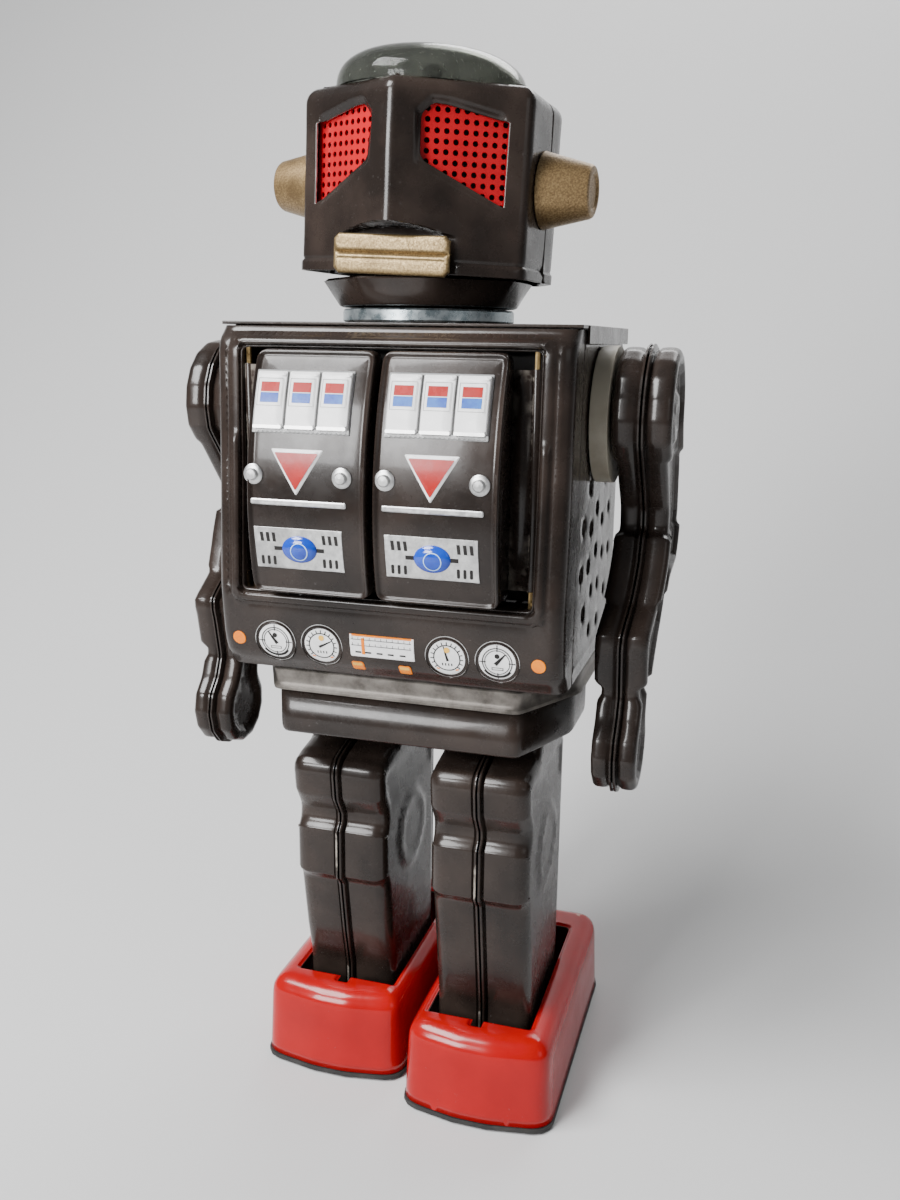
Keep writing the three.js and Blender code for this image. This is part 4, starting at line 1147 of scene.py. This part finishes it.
# ---------------------------------------------------------------- arms and legs
def pressed_half(name, outline, profile, seam_x, direction, body, replaced, relief, lean=None, step=2.2):
    """Half of a limb: a flange at the seam, walls that follow profile and a pressed side face."""
    rings = []
    for d, h in profile:
        loop = offset(outline, d)
        rings.append(rows(h, loop[:, 0], loop[:, 1]))
    points, fill, gap = triangulated(rings[-1][:, 1:], step=step, bands=(0.8, 1.6, 2.4))
    height = profile[-1][1] + relief(points[:, 0], points[:, 1], gap)
    vertices, faces = capped(rings, rows(height, points[:, 0], points[:, 1]), fill)
    if lean:
        vertices = lean(vertices, math.copysign(1, direction * seam_x))
    vertices[:, 0] = seam_x + direction * vertices[:, 0]
    if direction < 0:
        faces = [f[::-1] for f in faces]
    return pressed(name, vertices, faces, body, replaced, 0.4)


shoulder = middle("shoulder_washer_left")
arm_outer_low = box_mm("arm_outer_left")[0]
arm_outline = soft_outline("arm_outer_left", 0, arm_outer_low[0], 0.9, 1)
ARM_PROFILE = [(0.25, 0.08), (0.0, 0.2), (0.0, 0.6), (0.15, 0.72), (1.5, 0.78), (1.75, 1.0), (1.55, 1.5),
               (1.0, 2.3), (0.85, 3.6), (0.85, 5.2), (1.0, 6.1), (1.5, 6.9), (2.3, 7.35), (3.2, 7.45)]


def arm_relief(y, z, gap):
    hub = np.hypot(y - shoulder[1], z - shoulder[2])
    sunk = -1.5 * smooth(0.4, 2.2, gap)
    boss = 1.1 * (1 - smooth(6.2, 7.4, hub)) - 0.5 * (1 - smooth(2.4, 3.2, hub))
    rib = 0.7 * bump_at(np.abs(y - shoulder[1] - 6), 3.5, 3) * smooth(-45, -38, z - shoulder[2])
    return sunk + boss + rib * smooth(2, 5, gap) * (1 - smooth(-24, -18, z - shoulder[2]))


# how thick the arm is at heights under the shoulder, as a share of its full thickness
ARM_DEPTHS = [(-120, 0.72), (-73, 0.76), (-71, 0.6), (-69, 0.6), (-67.6, 0.9), (-48.4, 0.9), (-47.9, 0.8),
              (-47.2, 1.0), (-31.6, 1.0), (-30.8, 0.84), (-11, 0.84), (-9.8, 1.0), (30, 1.0)]
ARM_LEAN = 1.7                  # the hand hangs this much nearer the body


def arm_lean(vertices, inward):
    """Thins the arm below its shoulder and moves the hand by ARM_LEAN; inward is 1 for the outer half."""
    under = vertices[:, 2] - shoulder[2]
    depth = np.interp(under, *zip(*ARM_DEPTHS))
    deep = np.maximum(vertices[:, 0] - 0.8, 0)
    moved = inward * ARM_LEAN * smooth(35, 60, -under)
    vertices[:, 0] = np.minimum(vertices[:, 0], 0.8) + deep * depth - moved
    return vertices


leg_low, leg_high = box_mm("leg_outer_left")
LEG_DROP = box_mm("battery_cover_left")[0][2] - box_mm("battery_cover_right")[0][2]
LEG_PROFILE = [(0.25, 0.1), (0.0, 0.2), (0.0, 0.65), (0.15, 0.8), (1.5, 0.85), (1.8, 1.05), (1.7, 1.35),
               (1.0, 1.7), (0.9, 2.4), (0.9, 9.8), (1.1, 11.2), (1.8, 12.7), (2.9, 13.6), (4.2, 13.8)]
KNEE = (-6.0, 74.0)


def leg_relief(y, z, gap):
    knee = np.hypot(y - KNEE[0], z - KNEE[1])
    ring = 0.7 * (1 - smooth(11.2, 12.4, knee)) - 0.45 * (1 - smooth(8.4, 9.4, knee))
    panel = -0.5 * smooth(1, 2.5, gap) * smooth(88, 91, z) * (1 - smooth(98, 101, z))
    return ring * smooth(0, 2, gap) + panel


leg_outlines = {}
for side, name in SIDES:
    seam_x = side * (arm_outer_low[0] - 0.15)
    for part, direction in (("outer", side), ("inner", -side)):
        pressed_half(f"arm_{part}_{name}_tin", arm_outline, ARM_PROFILE, seam_x + direction * 0.12, direction,
                     f"arm_{name}", [f"arm_{part}_{name}"], arm_relief, arm_lean)
    leg_x = side * (leg_low[0] - 0.15)
    low, high = box_mm(f"leg_outer_{name}")
    outer_face = high[0] if side > 0 else low[0]
    leg_outlines[name] = soft_outline(f"leg_outer_{name}", 0, outer_face, 0.9, 1)
    shift = high[1] - leg_high[1]
    drop = 0 if side > 0 else LEG_DROP

    def relief(y, z, gap, shift=shift, drop=drop):
        return leg_relief(y - shift, z + drop, gap)
    for part, direction in (("outer", side), ("inner", -side)):
        pressed_half(f"leg_{part}_{name}_tin", leg_outlines[name], LEG_PROFILE, leg_x + direction * 0.12,
                     direction, f"leg_{name}", [f"leg_{part}_{name}"], relief)

# ---------------------------------------------------------------- shoes
SHOE_TOP_R = 6.2
SHOE_GAP = 3.2                  # from the leg's front to the front edge of the opening
SHOE_HEEL_GAP = 13.5            # from the leg's back to the rear edge of the opening
SHOE_OPEN_HALF = 15.4
NOTCH_HALF, NOTCH_DEEP = 1.6, 3   # the notch for the leg's seam flange
for side, name in SIDES:
    node = f"shoe_{name}"
    low, high = box_mm(node)
    outline = soft_outline(node, 2, low[2], 1.2, 4)
    leg_box = box_mm(f"leg_outer_{name}")
    shin = leg_outlines[name]
    shin = shin[np.abs(shin[:, 1] - high[2]) < 1.5]
    x_middle = side * (leg_low[0] - 0.15)
    front = shin[:, 0].min() - SHOE_GAP
    rear = leg_box[1][1] + SHOE_HEEL_GAP
    hole = [(-SHOE_OPEN_HALF, rear), (-SHOE_OPEN_HALF, front), (-NOTCH_HALF, front),
            (-NOTCH_HALF, front - NOTCH_DEEP), (NOTCH_HALF, front - NOTCH_DEEP), (NOTCH_HALF, front),
            (SHOE_OPEN_HALF, front), (SHOE_OPEN_HALF, rear)]
    hole = [(x_middle + x, y) for x, y in hole]
    hole = filleted(hole, [2.5, 0.8, 0.4, 0.4, 0.4, 0.4, 0.8, 2.5], 4)

    def shoe_height(x, y, gap, low=low, high=high, loops=(outline,), hole=hole):
        spots = rows(x, y)
        out = edge_distance(spots, loops)
        wall = np.clip(out / 0.9, 0, 1)
        turn = np.clip((out - 0.9) / SHOE_TOP_R, 0, 1)
        top = high[2] - low[2]
        z = low[2] + np.where(out < 0.9, wall * (top - SHOE_TOP_R), top - SHOE_TOP_R
                              + SHOE_TOP_R * np.sqrt(1 - (1 - turn) ** 2))
        z = z - 0.7 * (1 - smooth(0, 1.2, edge_distance(spots, [hole])))
        return rows(x, y, z)
    sheet(f"{node}_shell", outline, shoe_height, [enamel, bare_edge], f"leg_{name}",
          holes=[hole], rim=1, step=2.0,
          bands=(0.12, 0.3, 0.5, 0.7, 0.9, 1.2, 1.6, 2.2, 3.0, 4.0, 5.2, 6.2, 7.2),
          replaced=[node], slot="red_tin", sharp=0)

# ---------------------------------------------------------------- pieces that keep their CAD shape
KEPT = (
    # the gun bulkhead takes the darker black: painted shade inside the chest
    (black_painted_shade, "gun_bulkhead"), (cell_jacket, "battery_*"), (natural, "drive_gear idler_gear"),
    (brass, "lamp_socket door_hinge_rod_* motor_pinion"), (rubber, "roller_front_* roller_rear_*"),
    (steel, "gun_carriage shoulder_axle_* leg_guide_rod_* crankshaft motor gearbox_plate_*"),
)
for material, names in KEPT:
    for node in (one for name in names.split() for one in both(name)):
        kept = frame["nodes"][node]
        kept.data.materials.clear()
        kept.data.materials.append(material)

# ---------------------------------------------------------------- floor, light and camera
FLOOR_REACH = 5000


def floor_sheet():
    """A floor that curves up into a wall far behind the robot."""
    lines = [(-FLOOR_REACH, 0)]
    for k in range(41):
        t = k / 40
        bend = max(0.0, t - 0.45) / 0.55
        lines.append((-900 + 2000 * t - 250 * bend ** 2, 1400 * bend ** 2.4))
    vertices = [(x, y, z) for y, z in lines for x in (-FLOOR_REACH, FLOOR_REACH)]
    faces = [(2 * k, 2 * k + 1, 2 * k + 3, 2 * k + 2) for k in range(len(lines) - 1)]
    mesh = bpy.data.meshes.new("floor")
    mesh.from_pydata([tuple(c * MM for c in v) for v in vertices], [], faces)
    mesh.shade_smooth()
    floor = bpy.data.objects.new("floor", mesh)
    bpy.context.scene.collection.objects.link(floor)
    paint = Paint("pale_floor")
    paint.set(Base_Color=(0.56, 0.56, 0.56), Roughness=0.85)
    mesh.materials.append(paint.material)
    floor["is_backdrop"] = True


def softbox(name, at, aim, size, power, colour=(1, 1, 1)):
    light = bpy.data.lights.new(name, "AREA")
    light.shape = "RECTANGLE"
    light.size, light.size_y = size[0] * MM, size[1] * MM
    light.energy = power
    light.color = colour
    lamp = bpy.data.objects.new(name, light)
    lamp.location = Vector(at) * MM
    lamp.rotation_mode = "QUATERNION"
    lamp.rotation_quaternion = (Vector(aim) - Vector(at)).to_track_quat("-Z", "Y")
    bpy.context.scene.collection.objects.link(lamp)


floor_sheet()
softbox("key", (-380, -380, 800), (0, 0, 150), (420, 320), 14)
softbox("front", (-340, -750, 440), (0, 0, 150), (300, 300), 9)
softbox("fill", (800, -500, 500), (0, 0, 130), (400, 400), 0.5)
softbox("back", (100, 600, 700), (0, 0, 180), (600, 300), 4)
world = bpy.data.worlds.new("studio")
world.use_nodes = True
world.node_tree.nodes["Background"].inputs["Color"].default_value = (0.8, 0.82, 0.85, 1)
world.node_tree.nodes["Background"].inputs["Strength"].default_value = 0.22
bpy.context.scene.world = world

camera_data = bpy.data.cameras.new("camera")
camera_data.lens = CAMERA_LENS
camera_data.sensor_width = 36
camera_data.shift_x = CAMERA_SHIFT_X
camera_data.clip_start, camera_data.clip_end = 0.01, 20
camera = bpy.data.objects.new("camera", camera_data)
yaw, pitch, roll = (math.radians(a) for a in (CAMERA_YAW, CAMERA_PITCH, CAMERA_ROLL))
forward = Vector((-math.sin(yaw) * math.cos(pitch), math.cos(yaw) * math.cos(pitch), -math.sin(pitch)))
level = Vector((math.cos(yaw), math.sin(yaw), 0))
right = math.cos(roll) * level + math.sin(roll) * level.cross(forward)
up = right.cross(forward)
turn = Matrix((right, up, -forward)).transposed().to_4x4()
camera.matrix_world = Matrix.Translation(Vector(CAMERA_AT) * MM) @ turn
bpy.context.scene.collection.objects.link(camera)
bpy.context.scene.camera = camera

low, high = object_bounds()
